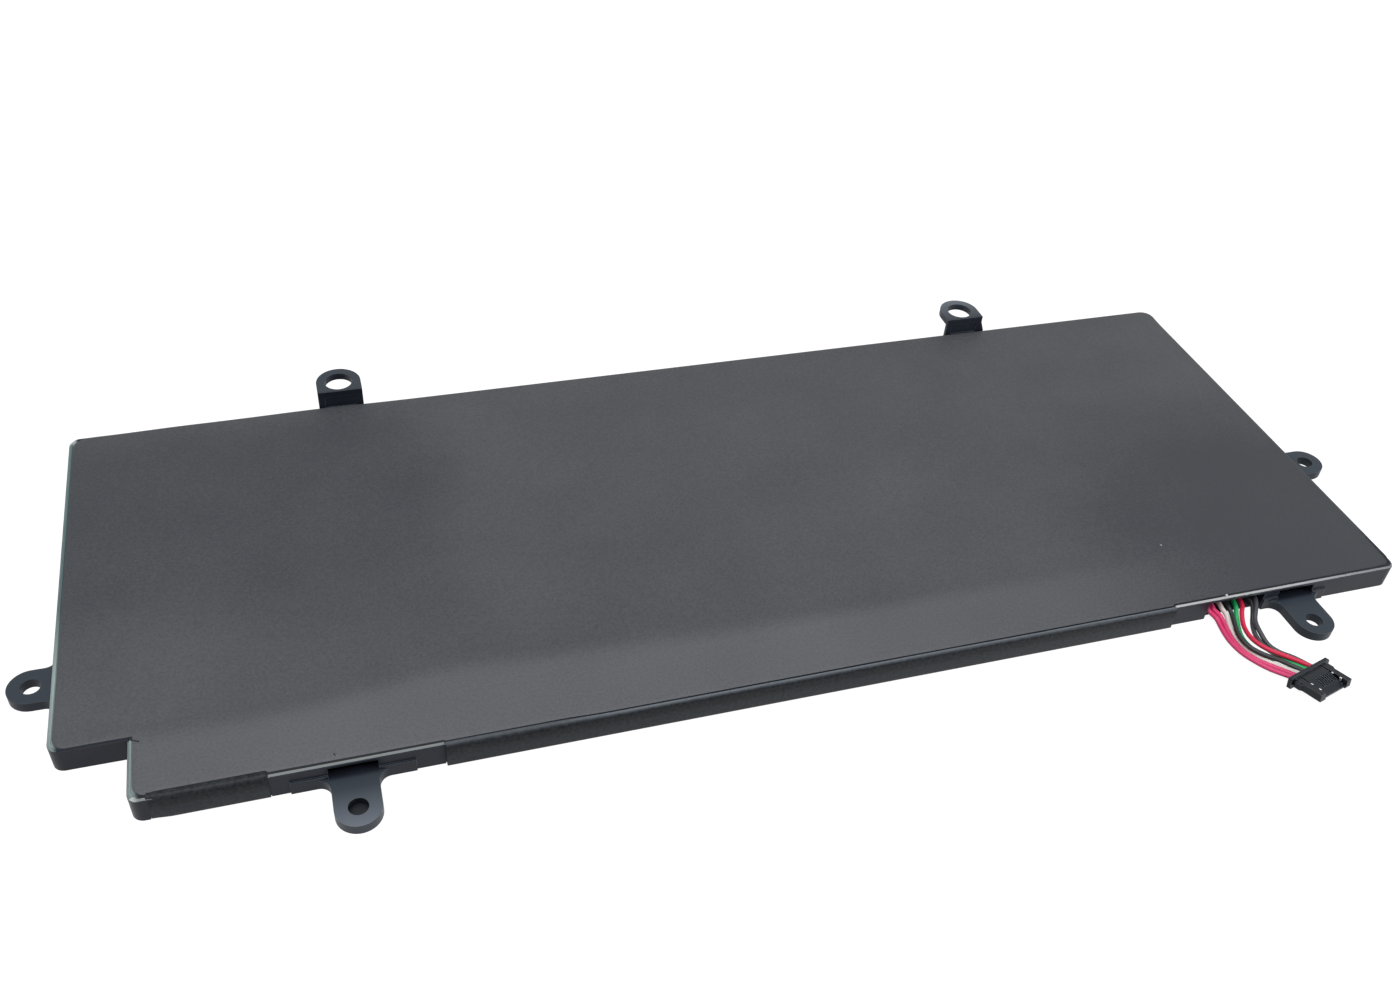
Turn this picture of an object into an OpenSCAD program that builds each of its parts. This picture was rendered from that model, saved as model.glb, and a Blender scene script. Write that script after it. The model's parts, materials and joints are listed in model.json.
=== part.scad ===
// Flat internal lithium polymer pack: four pouch cells in a moulded frame between two films,
// a protection board along the front edge, six screw ears and an eight-wire lead.
// Millimetres. Z is up, X runs along the pack, the ears with the lead point to -Y.
// The origin is the middle of the frame's underside, on the surface that the pack lies on.

/* [Pack] */
// Length of the frame along X, without the ears
pack_l = 300; // [285:1:330]
// Depth of the frame along Y, without the ears
pack_w = 113.5; // [100:0.5:130]
// Thickness of one pouch cell
cell_t = 5; // [4.5:0.1:8]
// Length of the corner notch along X
notch_l = 14.5; // [10:0.5:16]
// Depth of the corner notch along Y
notch_w = 15.5; // [15:0.5:20]
// Radius of the frame's outer corners
corner_r = 2.4; // [1:0.1:4]

/* [Frame] */
// Thickness of the frame's outer walls
wall_t = 1.6; // [1.4:0.1:2.2]
// Thickness of the ribs between the cells and behind the board
rib_t = 1; // [0.8:0.1:1.6]
// Bevel on the frame's outer top edge
rim_bevel = 0.5; // [0.2:0.1:0.6]
// Width of the bare rim between the outer wall face and the film
rim_w = 1; // [0.8:0.1:1.2]
// Height of the rim that bridges the wire slot and the ear windows
rim_h = 1; // [0.8:0.1:1.4]

/* [Low ears] */
// Outer radius of the four ears at the underside
ear_r = 4.6; // [4:0.1:6]
// Thickness of those ears
ear_t = 2.3; // [1.8:0.1:2.8]
// Diameter of their holes
ear_hole_d = 4; // [2.5:0.1:5]
// Floor left under the blind locating hole of the front left ear
blind_floor_t = 0.5; // [0.3:0.1:1]
// Hole centre of the front left ear, from the frame's left end
front_left_ear_x = 55.2; // [54:0.1:60]
// Hole centre of the front right ear, from the frame's right end
front_right_ear_x = 28.2; // [20:0.1:28.4]
// Hole centres of both front ears, ahead of the front wall
front_ear_reach = 8; // [7:0.1:14]
// Hole centre of the left ear, from the frame's front
left_ear_y = 37; // [28:0.5:80]
// Hole centre of the left ear, beyond the left wall
left_ear_reach = 4.8; // [4.8:0.1:10]
// Hole centre of the right ear, from the frame's front
right_ear_y = 43.5; // [20:0.5:80]
// Hole centre of the right ear, beyond the right wall
right_ear_reach = 6.8; // [4.8:0.1:10]
// Fillet where an ear meets the wall
ear_fillet = 2.4; // [0.5:0.1:3]
// How far the thickened pad beside a front ear stands out of the wall
pad_out = 0.4; // [0.2:0.1:0.8]
// Height of that pad
pad_h = 3.2; // [2.9:0.1:3.6]
// Half length of the front left ear's pad
left_pad_l = 12; // [8:0.5:12]
// Half length of the front right ear's pad
right_pad_l = 8.6; // [8:0.1:8.6]
// Width of the window in the wall above a front ear
ear_window_w = 9.6; // [6:0.1:10]

/* [Raised ears] */
// Outer radius of the two raised back ears
high_ear_r = 5.5; // [5.4:0.1:7]
// Thickness of their plates
high_ear_t = 1.8; // [1.4:0.1:2.4]
// Height of the plates' top above the underside
high_ear_z = 10.7; // [9.4:0.1:12]
// Diameter of their holes
high_hole_d = 6.8; // [4:0.1:6.8]
// Thickness of the upright web under each plate
high_web_t = 0.9; // [0.8:0.1:1.2]
// Hole centres behind the back wall
high_ear_reach = 4.5; // [4.5:0.1:8]
// Hole centre of the back left ear, from the frame's left end
back_left_ear_x = 64.2; // [30:0.1:100]
// Hole centre of the back right ear, from the frame's right end
back_right_ear_x = 61.3; // [30:0.1:100]

/* [Films and pads] */
// Thickness of the top film, the bottom film and the edge wraps
film_t = 0.3; // [0.2:0.05:0.35]
// How far the top film stands above the rim
film_proud = 0.1; // [0.05:0.05:0.15]
// Gap between a film's edge and the rim around it
film_gap = 0.15; // [0.1:0.05:0.3]
// Thickness of the adhesive pads above and below the cells
pad_t = 0.25; // [0.15:0.05:0.5]
// Thickness of the foam strip under the long edge wrap
foam_t = 0.55; // [0.3:0.05:1]
// Left end of the long edge wrap, from the frame's left end
long_wrap_x = 73; // [70:0.5:80]
// Right end of the long edge wrap, from the frame's right end
long_wrap_end = 61.5; // [56:0.5:75]
// Left end of the short edge wrap, from the notch's side wall
short_wrap_x = 3.5; // [2:0.5:5]
// Length of the short edge wrap
short_wrap_l = 21.5; // [4:0.5:21.5]

/* [Cells] */
// Gap between a cell and the walls around it
cell_gap = 0.3; // [0.2:0.05:0.6]
// Radius of a cell's long edges
cell_edge_r = 1.2; // [0.5:0.1:2]
// Thickness of the folded seam on each side of a cell
seam_t = 0.3; // [0.2:0.05:0.5]
// Width of the sealed edge that the tabs leave
seal_w = 4.5; // [3:0.1:7]
// Thickness of the sealed edge
seal_t = 0.6; // [0.4:0.05:0.8]
// Width of a cell tab
tab_w = 5; // [3:0.1:7]
// Thickness of a cell tab
tab_t = 0.2; // [0.1:0.05:0.3]
// Distance of each tab from the cell's middle
tab_offset = 13; // [8:0.5:13]

/* [Protection board] */
// Width of the board along Y
board_w = 10; // [9:0.1:10.4]
// Thickness of the board
board_t = 0.8; // [0.6:0.05:0.85]
// Length left free between the board and each end of its channel
board_end_gap = 3.5; // [2:0.5:4]
// Height of the bars that carry the board, above the bottom film
bar_h = 1.1; // [0.9:0.05:1.15]
// Width of each bar
bar_w = 2; // [1.2:0.1:3]
// Number of bars
bar_count = 6; // [3:1:9]
// Thickness of the nickel weld pads on the board
weld_t = 0.3; // [0.2:0.05:0.4]
// Thickness of the tape over the tabs
tape_t = 0.1; // [0.05:0.05:0.15]

/* [Lead] */
// Diameter of one insulated wire
wire_d = 1.1; // [0.9:0.05:1.1]
// Middle of the wire slot, from the frame's right end
slot_x = 44.5; // [44.5:0.1:47]
// Width of the wire slot
slot_w = 15; // [14.6:0.1:15.2]

/* [Connector] */
// Width of the connector's body
plug_w = 10.2; // [9.8:0.1:12]
// Length of the connector's body
plug_l = 7.6; // [7.4:0.1:9]
// Thickness of the connector's body
plug_h = 1.9; // [1.8:0.1:2.4]
// Width across the rear flange
flange_w = 12.9; // [12.4:0.1:15]
// Thickness of the rear flange
flange_t = 0.9; // [0.8:0.1:1.1]
// Height of the rear flange
flange_h = 2.9; // [2.9:0.1:3.4]
// Width of each side arm
arm_w = 1.4; // [1.2:0.1:1.5]
// Pitch of the contacts
contact_pitch = 0.6; // [0.5:0.05:0.65]
// Width of one contact slot
contact_slot_w = 0.3; // [0.25:0.05:0.35]

/* [Hidden] */
$fn = 48;
CLEAR = 1;          // how far a cutter runs past the face that it opens
CELLS = 4;
RING_SIDES = 8;

// Heights above the resting surface
film_top = cell_t + 2 * film_t + 2 * pad_t;
frame_h = film_top - film_proud;
ledge_z = film_top - film_t;
cell_z = film_t + pad_t;
board_z = film_t + bar_h;
board_top = board_z + board_t;
tab_z = board_top + weld_t;
window_top = frame_h - rim_h;
slot_floor_z = tab_z - 0.3;

// The frame's faces and its channel for the board
x0 = -pack_l / 2;
x1 = pack_l / 2;
y0 = -pack_w / 2;
y1 = pack_w / 2;
notch_x = x0 + notch_l;
notch_y = y0 + notch_w;
bay_y0 = notch_y + wall_t;
rib_y = bay_y0 - rib_t;
bay_y1 = y1 - wall_t;
bay_x0 = x0 + wall_t;
bay_l = (pack_l - 2 * wall_t - (CELLS - 1) * rib_t) / CELLS;
bay_pitch = bay_l + rib_t;
cell_w = bay_l - 2 * cell_gap;
board_x0 = notch_x + wall_t + board_end_gap;
board_x1 = x1 - wall_t - board_end_gap;
board_y1 = rib_y - 3;
board_y0 = board_y1 - board_w;
weld_w = tab_w + 1.6;
weld_l = 3;
weld_y1 = board_y1 - 0.3;
tab_y0 = weld_y1 - weld_l;
chip_y = board_y0 + 3.2;
leg_l = 0.8;
leg_t = 0.3;
cell_y0 = bay_y0 + cell_gap + seal_w;
cell_y1 = bay_y1 - cell_gap;
seal_z = tab_z + tab_t / 2 - seal_t / 2;
pad_margin = 6;

// Parts on the board, each as length, width and height, and their places along it
CONTROL_CHIP = [6.5, 4.4, 1.1];
PROTECTOR = [3, 3, 0.9];
MOSFET = [5, 4, 1];
FUSE = [4.2, 3.2, 1.4];
SENSE_RESISTOR = [6.4, 3.2, 0.6];
CUTOFF = [6, 3, 1];
BALANCE_RESISTOR = [3.2, 1.6, 0.6];
CAPACITOR = [1.6, 0.8, 0.8];
RESISTOR = [1.6, 0.8, 0.45];
THERMISTOR = [2, 1.2, 0.7];
part_pitch = 3;
resistor_row = 30;      // from the board's left end to the first resistor
balance_row = -48;      // from the control chip
capacitor_row = -26;
protector_x = 14;
fuse_x = 45.5;          // from the lead back to the fuse
mosfet_gap = 3;
cutoff_gap = 0.1;

// Edge wraps
long_wrap_l = pack_l - long_wrap_x - long_wrap_end;

// Raised ears
web_back = 0.3;         // from the back wall's face to the web
web_flare = 1.1;        // how far the right ear's web spreads at its foot
web_rib = 1.6;
web_panel = 0.25;

// Connector details, in its own frame
CONTACTS = 8;
body_z = 0.5;
body_top = body_z + plug_h;
slit_w = 0.4;
slit_x = plug_w / 2 - arm_w - slit_w / 2;
mid_w = 2 * slit_x - slit_w;
ramp_y = 2.8;
ramp_drop = 0.7;
slot_y0 = 3.1;
slot_y1 = 5.5;
slot_z = body_z + 0.5;
slot_side = 0.35;       // from the last slot's middle to the slit
contact_gap = 0.05;
contact_t = 0.2;
mouth_back = 0.3;
mouth_z = body_z + 0.4;
spring_z = body_z + 0.4;
spring_y0 = 3.1;
spring_y1 = 6.7;
spring_h = 0.4;
spring_tips = [3.9, 6];
spring_tip_l = 0.5;
latch_out = 0.6;
latch_y0 = 1.3;
latch_y1 = 2.6;
latch_y2 = 3.5;
latch_z = 0.2;
flange_r = 0.5;

// Corners of the frame's outline, anticlockwise from the notch's front corner.
// The last one is the notch's inner corner.
OUTLINE = [[notch_x, y0], [x1, y0], [x1, y1], [x0, y1], [x0, notch_y], [notch_x, notch_y]];
INNER_CORNER = 5;

// The lead is laid out from the middle of the wire slot: one row of points for each wire, out of
// the slot and along the surface. It starts at a solder joint on the board and ends in the plug,
// which rests on its flange with its mouth held up by the wires.
lead_x = x1 - slot_x;
plug_pos = [4.95, -21.4];
plug_turn = 15;
plug_tilt = 10;
solder_l = 1.2;
solder_y = tab_y0 - 0.9 - solder_l;
lead_z = board_top + wire_d / 2 + 0.05;
// Each wire's place across the board, and across and up the connector's rear face
BOARD_X = [-6.7, -5.3, -3.2, -1.4, 0.5, 2.3, 4.5, 6.1];
WIRE_ENDS = [[-3.95, 1.5], [-2.8, 1.5], [-1.5, 1.5], [-0.25, 1.5],
             [1, 1.5], [2.3, 1.78], [2.5, 0.64], [3.65, 0.66]];
ROUTES = [
    [[-6.7, 0.2, 2.2], [-5.55, -1.61, 1.24], [-5.84, -4.34, 0.85],
     [-6.35, -8.06, 0.91], [-5.88, -11.88, 0.95], [-4.41, -15.13, 0.96], [-2.31, -18.33, 1.06]],
    [[-5.3, 0.2, 2.2], [-4.28, -1.19, 1.43], [-4.63, -4.2, 0.92],
     [-5.18, -7.74, 0.69], [-4.84, -11.44, 0.6], [-3.33, -14.78, 0.61], [-0.85, -17.72, 0.79]],
    [[-3.2, 0.2, 2.2], [-2.77, -1.45, 1.43], [-3.55, -4.62, 0.68],
     [-4.03, -7.91, 0.58], [-3.65, -11.34, 0.58], [-2.1, -14.39, 0.58], [0.37, -17.44, 0.7]],
    [[-1.4, 0.2, 2.2], [-1.63, -1.75, 1.72], [-2.82, -4.95, 1.55],
     [-3.95, -8.36, 1.76], [-3.55, -11.64, 1.72], [-1.75, -14.39, 1.71], [1.19, -16.89, 1.52]],
    [[0.5, 0.2, 2.2], [-0.33, -1.65, 1.62], [-1.56, -4.72, 0.74],
     [-2.59, -8.05, 0.59], [-2.29, -11.49, 0.59], [-0.68, -14.32, 0.62], [2.21, -16.51, 0.83]],
    [[2.3, 0.2, 2.2], [1.14, -1.6, 1.79], [-0.42, -4.74, 1.32],
     [-1.36, -8.32, 1.54], [-0.93, -11.27, 1.69], [0.61, -13.76, 1.7], [3.25, -16.43, 1.76]],
    [[5, 0.2, 2.2], [3.98, -2.09, 1.4], [2.34, -4.77, 0.67],
     [1.03, -7.99, 0.58], [0.93, -11.4, 0.58], [2.04, -14.16, 0.58], [4.08, -16.61, 0.6]],
    [[5.5, 0.2, 3.25], [4.1, -2.25, 2.93], [2.55, -4.79, 1.92],
     [1.97, -7.98, 1.37], [2.08, -11.23, 0.69], [3.35, -13.86, 0.59], [5.68, -16.24, 0.61]],
];

// ---- helpers ---------------------------------------------------------------------------------

// Middle of cell bay i along X
function bay_x(i) = bay_x0 + bay_l / 2 + i * bay_pitch;

// Middle of a tab of cell i, on side -1 or 1
function tab_x(i, side) = bay_x(i) + side * tab_offset;

// Middle of contact i across the connector
function contact_x(i) = mid_w / 2 - slot_side - (CONTACTS - 1 - i) * contact_pitch;

// The waste outside a rounded corner at the origin, whose solid lies at +X +Y
module corner_waste(r) {
    difference() {
        translate([-CLEAR, -CLEAR]) square(r + CLEAR);
        translate([r, r]) circle(r);
    }
}

// Outline of the frame moved inwards by inset, with the notch and five round corners
module outline(inset) {
    r = max(corner_r - inset, 0.3);
    difference() {
        translate([x0 + inset, y0 + inset]) square([pack_l - 2 * inset, pack_w - 2 * inset]);
        translate([x0 - CLEAR, y0 - CLEAR])
            square([notch_l + inset + CLEAR, notch_w + inset + CLEAR]);
        translate([notch_x + inset, y0 + inset]) corner_waste(r);
        translate([x1 - inset, y0 + inset]) rotate(90) corner_waste(r);
        translate([x1 - inset, y1 - inset]) rotate(180) corner_waste(r);
        translate([x0 + inset, y1 - inset]) rotate(270) corner_waste(r);
        translate([x0 + inset, notch_y + inset]) corner_waste(r);
    }
}

// Draws its 2D child, drawn as Y and Z, as a bar of length len along +X from x
module along_x(x, len) {
    translate([x, 0, 0]) rotate([90, 0, 90]) linear_extrude(len) children();
}

// Rectangle with all four corners rounded
module round_rect(w, h, r) {
    translate([r, 0]) square([w - 2 * r, h]);
    translate([0, r]) square([w, h - 2 * r]);
    for (x = [r, w - r], y = [r, h - r]) translate([x, y]) circle(r);
}

// A chip or a block lying on the board with its middle at x, y
module on_board(x, y, size) {
    translate([x - size[0] / 2, y - size[1] / 2, board_top]) cube(size);
}

// ---- frame -----------------------------------------------------------------------------------

// Removes the outer top edge all round: a wedge along each side and a cone at each corner
module rim_bevel_waste() {
    count = len(OUTLINE);
    slack = 0.2;
    for (i = [0 : count - 1]) {
        a = OUTLINE[i];
        side = OUTLINE[(i + 1) % count] - a;
        trim_a = i == INNER_CORNER ? 0 : corner_r;
        trim_b = (i + 1) % count == INNER_CORNER ? 0 : corner_r;
        translate([a[0], a[1], frame_h]) rotate(atan2(side[1], side[0])) {
            along_x(trim_a, norm(side) - trim_a - trim_b)
                polygon([[-CLEAR, CLEAR], [-CLEAR, -rim_bevel - CLEAR],
                         [rim_bevel + CLEAR, CLEAR]]);
            if (i == INNER_CORNER)
                rotate(90) rotate_extrude(angle = 90)
                    polygon([[0, CLEAR], [0, -rim_bevel], [rim_bevel + CLEAR, CLEAR]]);
            else
                translate([corner_r, corner_r, 0]) rotate(180) rotate_extrude(angle = 90)
                    polygon([[corner_r + CLEAR, slack], [corner_r - rim_bevel - slack, slack],
                             [corner_r + CLEAR, -rim_bevel - CLEAR]]);
        }
    }
}

// Ear outline along +X from the wall face at x = 0, with fillets where it leaves x = root
module ear_outline(reach, r, root, fillet) {
    translate([reach, 0]) circle(r);
    translate([-wall_t / 2, -r]) square([reach + wall_t / 2, 2 * r]);
    for (m = [0, 1]) mirror([0, m, 0]) translate([root, r]) difference() {
        square(fillet);
        translate([fillet, fillet]) circle(fillet);
    }
}

// One low ear, flat on the resting surface, with its hole from hole_z up
module low_ear(x, y, turn, reach, root, hole_z) {
    translate([x, y, 0]) rotate(turn) difference() {
        linear_extrude(ear_t) ear_outline(reach, ear_r, root, ear_fillet);
        translate([reach, 0, hole_z]) cylinder(h = ear_t + CLEAR, d = ear_hole_d);
    }
}

// One back ear: an upright web against the back wall, and a plate above the pack's top
module high_ear(x, flare) {
    width = 2 * high_ear_r;
    plate_z = high_ear_z - high_ear_t;
    translate([x, y1, 0]) difference() {
        union() {
            translate([0, web_back + high_web_t, 0]) rotate([90, 0, 0])
                linear_extrude(high_web_t)
                polygon([[-high_ear_r, 0], [high_ear_r + flare, 0], [high_ear_r + flare, frame_h],
                         [high_ear_r, plate_z], [high_ear_r, high_ear_z],
                         [-high_ear_r, high_ear_z]]);
            translate([-high_ear_r, -rim_w / 2, 0])
                cube([width, rim_w / 2 + web_back + high_web_t / 2, window_top]);
            translate([0, 0, plate_z]) rotate(90) linear_extrude(high_ear_t) intersection() {
                ear_outline(high_ear_reach, high_ear_r, 0, 0.01);
                translate([web_back, -high_ear_r])
                    square([high_ear_reach + high_ear_r, width]);
            }
        }
        translate([0, high_ear_reach, -CLEAR])
            cylinder(h = high_ear_z + 2 * CLEAR, d = high_hole_d);
        // the web's face is sunk between two upright ribs
        translate([web_rib - high_ear_r, web_back - CLEAR, frame_h])
            cube([width - 2 * web_rib, CLEAR + web_panel, plate_z - frame_h]);
    }
}

// The thickened pad of the front wall around a front ear
module ear_pad(x, half_l) {
    translate([x - half_l, y0 - pad_out, 0]) cube([2 * half_l, pad_out + wall_t / 2, pad_h]);
}

// Opening through the front wall, from x - width / 2, between two heights
module front_opening(x, width, low, high) {
    translate([x - width / 2, y0 - CLEAR, low]) cube([width, wall_t + CLEAR, high - low]);
}

// Room for the legs of an edge wrap above and below the front rim
module wrap_recess(x, len) {
    for (z = [ledge_z - 0.1, film_t + 0.05 - 2 * CLEAR])
        translate([x - film_gap, y0 - CLEAR, z])
            cube([len + 2 * film_gap, rim_w + CLEAR, 2 * CLEAR]);
}

module frame_body() {
    linear_extrude(frame_h) difference() {
        outline(0);
        outline(wall_t);
    }
    // ribs: one behind the board's channel, and one between each pair of cells
    translate([0, 0, film_t]) {
        translate([notch_x, rib_y, 0])
            cube([x1 - notch_x - wall_t / 2, rib_t, ledge_z - film_t]);
        for (i = [1 : CELLS - 1])
            translate([bay_x(i) - bay_l / 2 - rib_t, rib_y, 0])
                cube([rib_t, bay_y1 - rib_y + wall_t / 2, ledge_z - film_t]);
        for (i = [0 : bar_count - 1])
            translate([board_x0 + (board_x1 - board_x0) * (i + 0.5) / bar_count - bar_w / 2,
                       y0 + wall_t / 2, 0])
                cube([bar_w, rib_y - y0, bar_h]);
    }
    ear_pad(x0 + front_left_ear_x, left_pad_l);
    ear_pad(x1 - front_right_ear_x, right_pad_l);
    low_ear(x0 + front_left_ear_x, y0, -90, front_ear_reach, pad_out, blind_floor_t);
    low_ear(x1 - front_right_ear_x, y0, -90, front_ear_reach, pad_out, -CLEAR);
    low_ear(x0, y0 + left_ear_y, 180, left_ear_reach, 0, -CLEAR);
    low_ear(x1, y0 + right_ear_y, 0, right_ear_reach, 0, -CLEAR);
}

module frame() color("#2b2e33") {
    difference() {
        frame_body();
        rim_bevel_waste();
        translate([0, 0, ledge_z]) linear_extrude(frame_h) outline(rim_w - film_gap);
        translate([0, 0, -CLEAR]) linear_extrude(CLEAR + film_t) outline(rim_w - film_gap);
        wrap_recess(x0 + long_wrap_x, long_wrap_l);
        wrap_recess(notch_x + short_wrap_x, short_wrap_l);
        front_opening(x0 + front_left_ear_x, ear_window_w, ear_t, window_top);
        front_opening(x1 - front_right_ear_x, ear_window_w, ear_t, window_top);
        front_opening(lead_x, slot_w, -CLEAR, window_top);
        for (i = [0 : CELLS - 1], side = [-1, 1])
            translate([tab_x(i, side) - tab_w / 2 - 0.5, rib_y - 0.1, slot_floor_z])
                cube([tab_w + 1, rib_t + 0.2, frame_h]);
    }
    high_ear(x0 + back_left_ear_x, 0);
    high_ear(x1 - back_right_ear_x, web_flare);
}

// ---- films, wraps and pads -------------------------------------------------------------------

module top_film() color("#4b4d52")
    translate([0, 0, ledge_z]) linear_extrude(film_t) outline(rim_w);

module bottom_film() color("#3a3c40")
    linear_extrude(film_t) outline(rim_w);

// Section of an edge wrap as Y and Z: film folded round the front wall and over both rims
module wrap_section(out, top_r) {
    difference() {
        wrap_side(y0 - out, 0, film_top, top_r, film_t);
        wrap_side(y0 - out + film_t, film_t, ledge_z, top_r - film_t, 0);
    }
}

// The filled section of a wrap up to its ends behind the rim, with two round front corners
module wrap_side(y, low, high, top_r, low_r) {
    y_end = y0 + rim_w - film_gap;
    difference() {
        translate([y, low]) square([y_end - y + (low > 0 ? CLEAR : 0), high - low]);
        translate([y, high]) mirror([0, 1]) corner_waste(top_r);
        if (low_r > 0) translate([y, low]) corner_waste(low_r);
    }
}

module long_edge_wrap() color("#34363a")
    along_x(x0 + long_wrap_x, long_wrap_l) wrap_section(foam_t + film_t, 1);

module short_edge_wrap() color("#34363a")
    along_x(notch_x + short_wrap_x, short_wrap_l) wrap_section(film_t, 2 * film_t);

module edge_foam() color("#1d1e20")
    translate([x0 + long_wrap_x, y0 - foam_t, CLEAR])
        cube([long_wrap_l, foam_t, window_top - CLEAR]);

// One adhesive pad in the middle of each cell, from height z
module adhesive_pads(z) {
    for (i = [0 : CELLS - 1])
        translate([bay_x(i) - cell_w / 2 + pad_margin, cell_y0 + pad_margin, z])
            cube([cell_w - 2 * pad_margin, cell_y1 - cell_y0 - 2 * pad_margin, pad_t]);
}

module upper_adhesive_pads() color("#d8d3c0") adhesive_pads(cell_z + cell_t);

module lower_adhesive_pads() color("#d8d3c0") adhesive_pads(film_t);

// ---- cells -----------------------------------------------------------------------------------

// Pouch cell i: a soft-edged block, its two folded side seams and the sealed edge at the front
module cell(i) color("#b9bcc0") translate([bay_x(i), 0, 0]) {
    block_w = cell_w - 2 * seam_t;
    translate([-block_w / 2, cell_y1, cell_z]) rotate([90, 0, 0])
        linear_extrude(cell_y1 - cell_y0) round_rect(block_w, cell_t, cell_edge_r);
    for (m = [0, 1]) mirror([m, 0, 0])
        translate([block_w / 2, cell_y0, cell_z + cell_edge_r])
            cube([seam_t, cell_y1 - cell_y0, cell_t - 2 * cell_edge_r]);
    translate([-block_w / 2, cell_y0 - seal_w, seal_z])
        cube([block_w, seal_w, seal_t]);
}

module cell_1() cell(0);
module cell_2() cell(1);
module cell_3() cell(2);
module cell_4() cell(3);

// The tabs on one side of every cell, from the sealed edge to the weld pads on the board
module tabs(side) {
    for (i = [0 : CELLS - 1])
        translate([tab_x(i, side) - tab_w / 2, tab_y0, tab_z])
            cube([tab_w, cell_y0 - seal_w - tab_y0, tab_t]);
}

module positive_tabs() color("#c8cacc") tabs(-1);

module negative_tabs() color("#a89f8c") tabs(1);

module tab_tape() color("#c98a1e")
    for (i = [0 : CELLS - 1], side = [-1, 1])
        translate([tab_x(i, side) - weld_w / 2, tab_y0, tab_z + tab_t])
            cube([weld_w, weld_y1 - tab_y0, tape_t]);

// ---- protection board ------------------------------------------------------------------------

module protection_board() color("#1f5a38")
    translate([board_x0, board_y0, board_z])
        cube([board_x1 - board_x0, board_w, board_t]);

module weld_pads() color("#b8b4a8")
    for (i = [0 : CELLS - 1], side = [-1, 1])
        translate([tab_x(i, side) - weld_w / 2, weld_y1 - weld_l, board_top])
            cube([weld_w, weld_l, weld_t]);

// Chip body with a row of short legs along both long sides
module leaded_chip(x, y, size, legs) {
    on_board(x, y, size);
    pitch = size[0] / legs;
    for (i = [0 : legs - 1], side = [-1, 1])
        on_board(x + (i - (legs - 1) / 2) * pitch, y + side * (size[1] / 2 + leg_l / 2),
                 [pitch / 2, leg_l, leg_t]);
}

// A row of two-ended parts on the board, from x, count of them
module chip_row(x, count, pitch, size) {
    for (i = [0 : count - 1]) on_board(x + i * pitch, chip_y, size);
}

module control_chip() color("#18191b") leaded_chip(0, chip_y, CONTROL_CHIP, 10);

module second_protector() color("#18191b")
    leaded_chip(protector_x, chip_y, PROTECTOR, 4);

module mosfets() color("#18191b")
    for (i = [0, 1])
        leaded_chip(lead_x - fuse_x + FUSE[0] + (i + 1) * (MOSFET[0] + mosfet_gap) - MOSFET[0] / 2,
                    chip_y, MOSFET, 4);

module chip_fuse() color("#d9d4c4") on_board(lead_x - fuse_x, chip_y, FUSE);

module sense_resistor() color("#22262b")
    on_board(lead_x - fuse_x - 2 * SENSE_RESISTOR[0], chip_y, SENSE_RESISTOR);

module thermal_cutoffs() color("#8d8a80")
    for (i = [0 : CELLS - 1])
        on_board(bay_x(i), weld_y1 - CUTOFF[1] / 2 - cutoff_gap, CUTOFF);

module thermistor() color("#3a3f45")
    on_board(bay_x(1) + CUTOFF[0] / 2 + 1.5 * THERMISTOR[0], weld_y1 - CUTOFF[1] / 2, THERMISTOR);

module balance_resistors() color("#22262b")
    chip_row(balance_row, CELLS, 1.5 * part_pitch, BALANCE_RESISTOR);

module capacitors() color("#a8876a") chip_row(capacitor_row, 7, part_pitch, CAPACITOR);

module resistors() color("#22262b")
    chip_row(board_x0 + resistor_row, 12, part_pitch, RESISTOR);

// ---- lead and connector ----------------------------------------------------------------------

// Puts its children in the connector's own frame: rear face at y = 0, mouth towards -Y
module at_plug() {
    translate([lead_x + plug_pos[0], y0 + plug_pos[1], 0])
        rotate([-plug_tilt, 0, plug_turn]) children();
}

// Where wire i meets the connector's rear face, in the lead's frame
function plug_end(i) =
    let (across = WIRE_ENDS[i][0], up = WIRE_ENDS[i][1], back = up * sin(plug_tilt))
    [plug_pos[0] + across * cos(plug_turn) - back * sin(plug_turn),
     plug_pos[1] + across * sin(plug_turn) + back * cos(plug_turn), up * cos(plug_tilt)];

function unit(v) = v / norm(v);

// Way that the connector points, in the lead's frame
plug_ahead = [sin(plug_turn) * cos(plug_tilt), -cos(plug_turn) * cos(plug_tilt), sin(plug_tilt)];

// Direction of a route at point k: square to the solder joint first, to the connector last
function heading_at(path, k) =
    k == 0 ? [0, -1, 0] :
    k == len(path) - 1 ? plug_ahead :
    unit(unit(path[k + 1] - path[k]) + unit(path[k] - path[k - 1]));

// Ring of points round a route at point k
function ring(path, k) =
    let (ahead = heading_at(path, k),
         across = unit(cross(ahead, [0, 0, 1])),
         up = cross(across, ahead))
    [for (j = [0 : RING_SIDES - 1])
        path[k] + wire_d / 2 * (cos(j * 360 / RING_SIDES) * across
                                + sin(j * 360 / RING_SIDES) * up)];

// Tube swept along wire i's route
module wire(i) {
    x = BOARD_X[i];
    path = concat([[x, solder_y - y0, lead_z], [x, board_y0 - y0 - 0.1, lead_z]],
                  ROUTES[i], [plug_end(i)]);
    rings = len(path);
    points = [for (k = [0 : rings - 1]) each ring(path, k)];
    walls = [for (k = [0 : rings - 2], j = [0 : RING_SIDES - 1])
        let (next = (j + 1) % RING_SIDES)
        [k * RING_SIDES + j, (k + 1) * RING_SIDES + j,
         (k + 1) * RING_SIDES + next, k * RING_SIDES + next]];
    front = [for (j = [0 : RING_SIDES - 1]) j];
    back = [for (j = [RING_SIDES - 1 : -1 : 0]) (rings - 1) * RING_SIDES + j];
    translate([lead_x, y0, 0])
        polyhedron(points = points, faces = concat([front], walls, [back]), convexity = 4);
}

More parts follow.
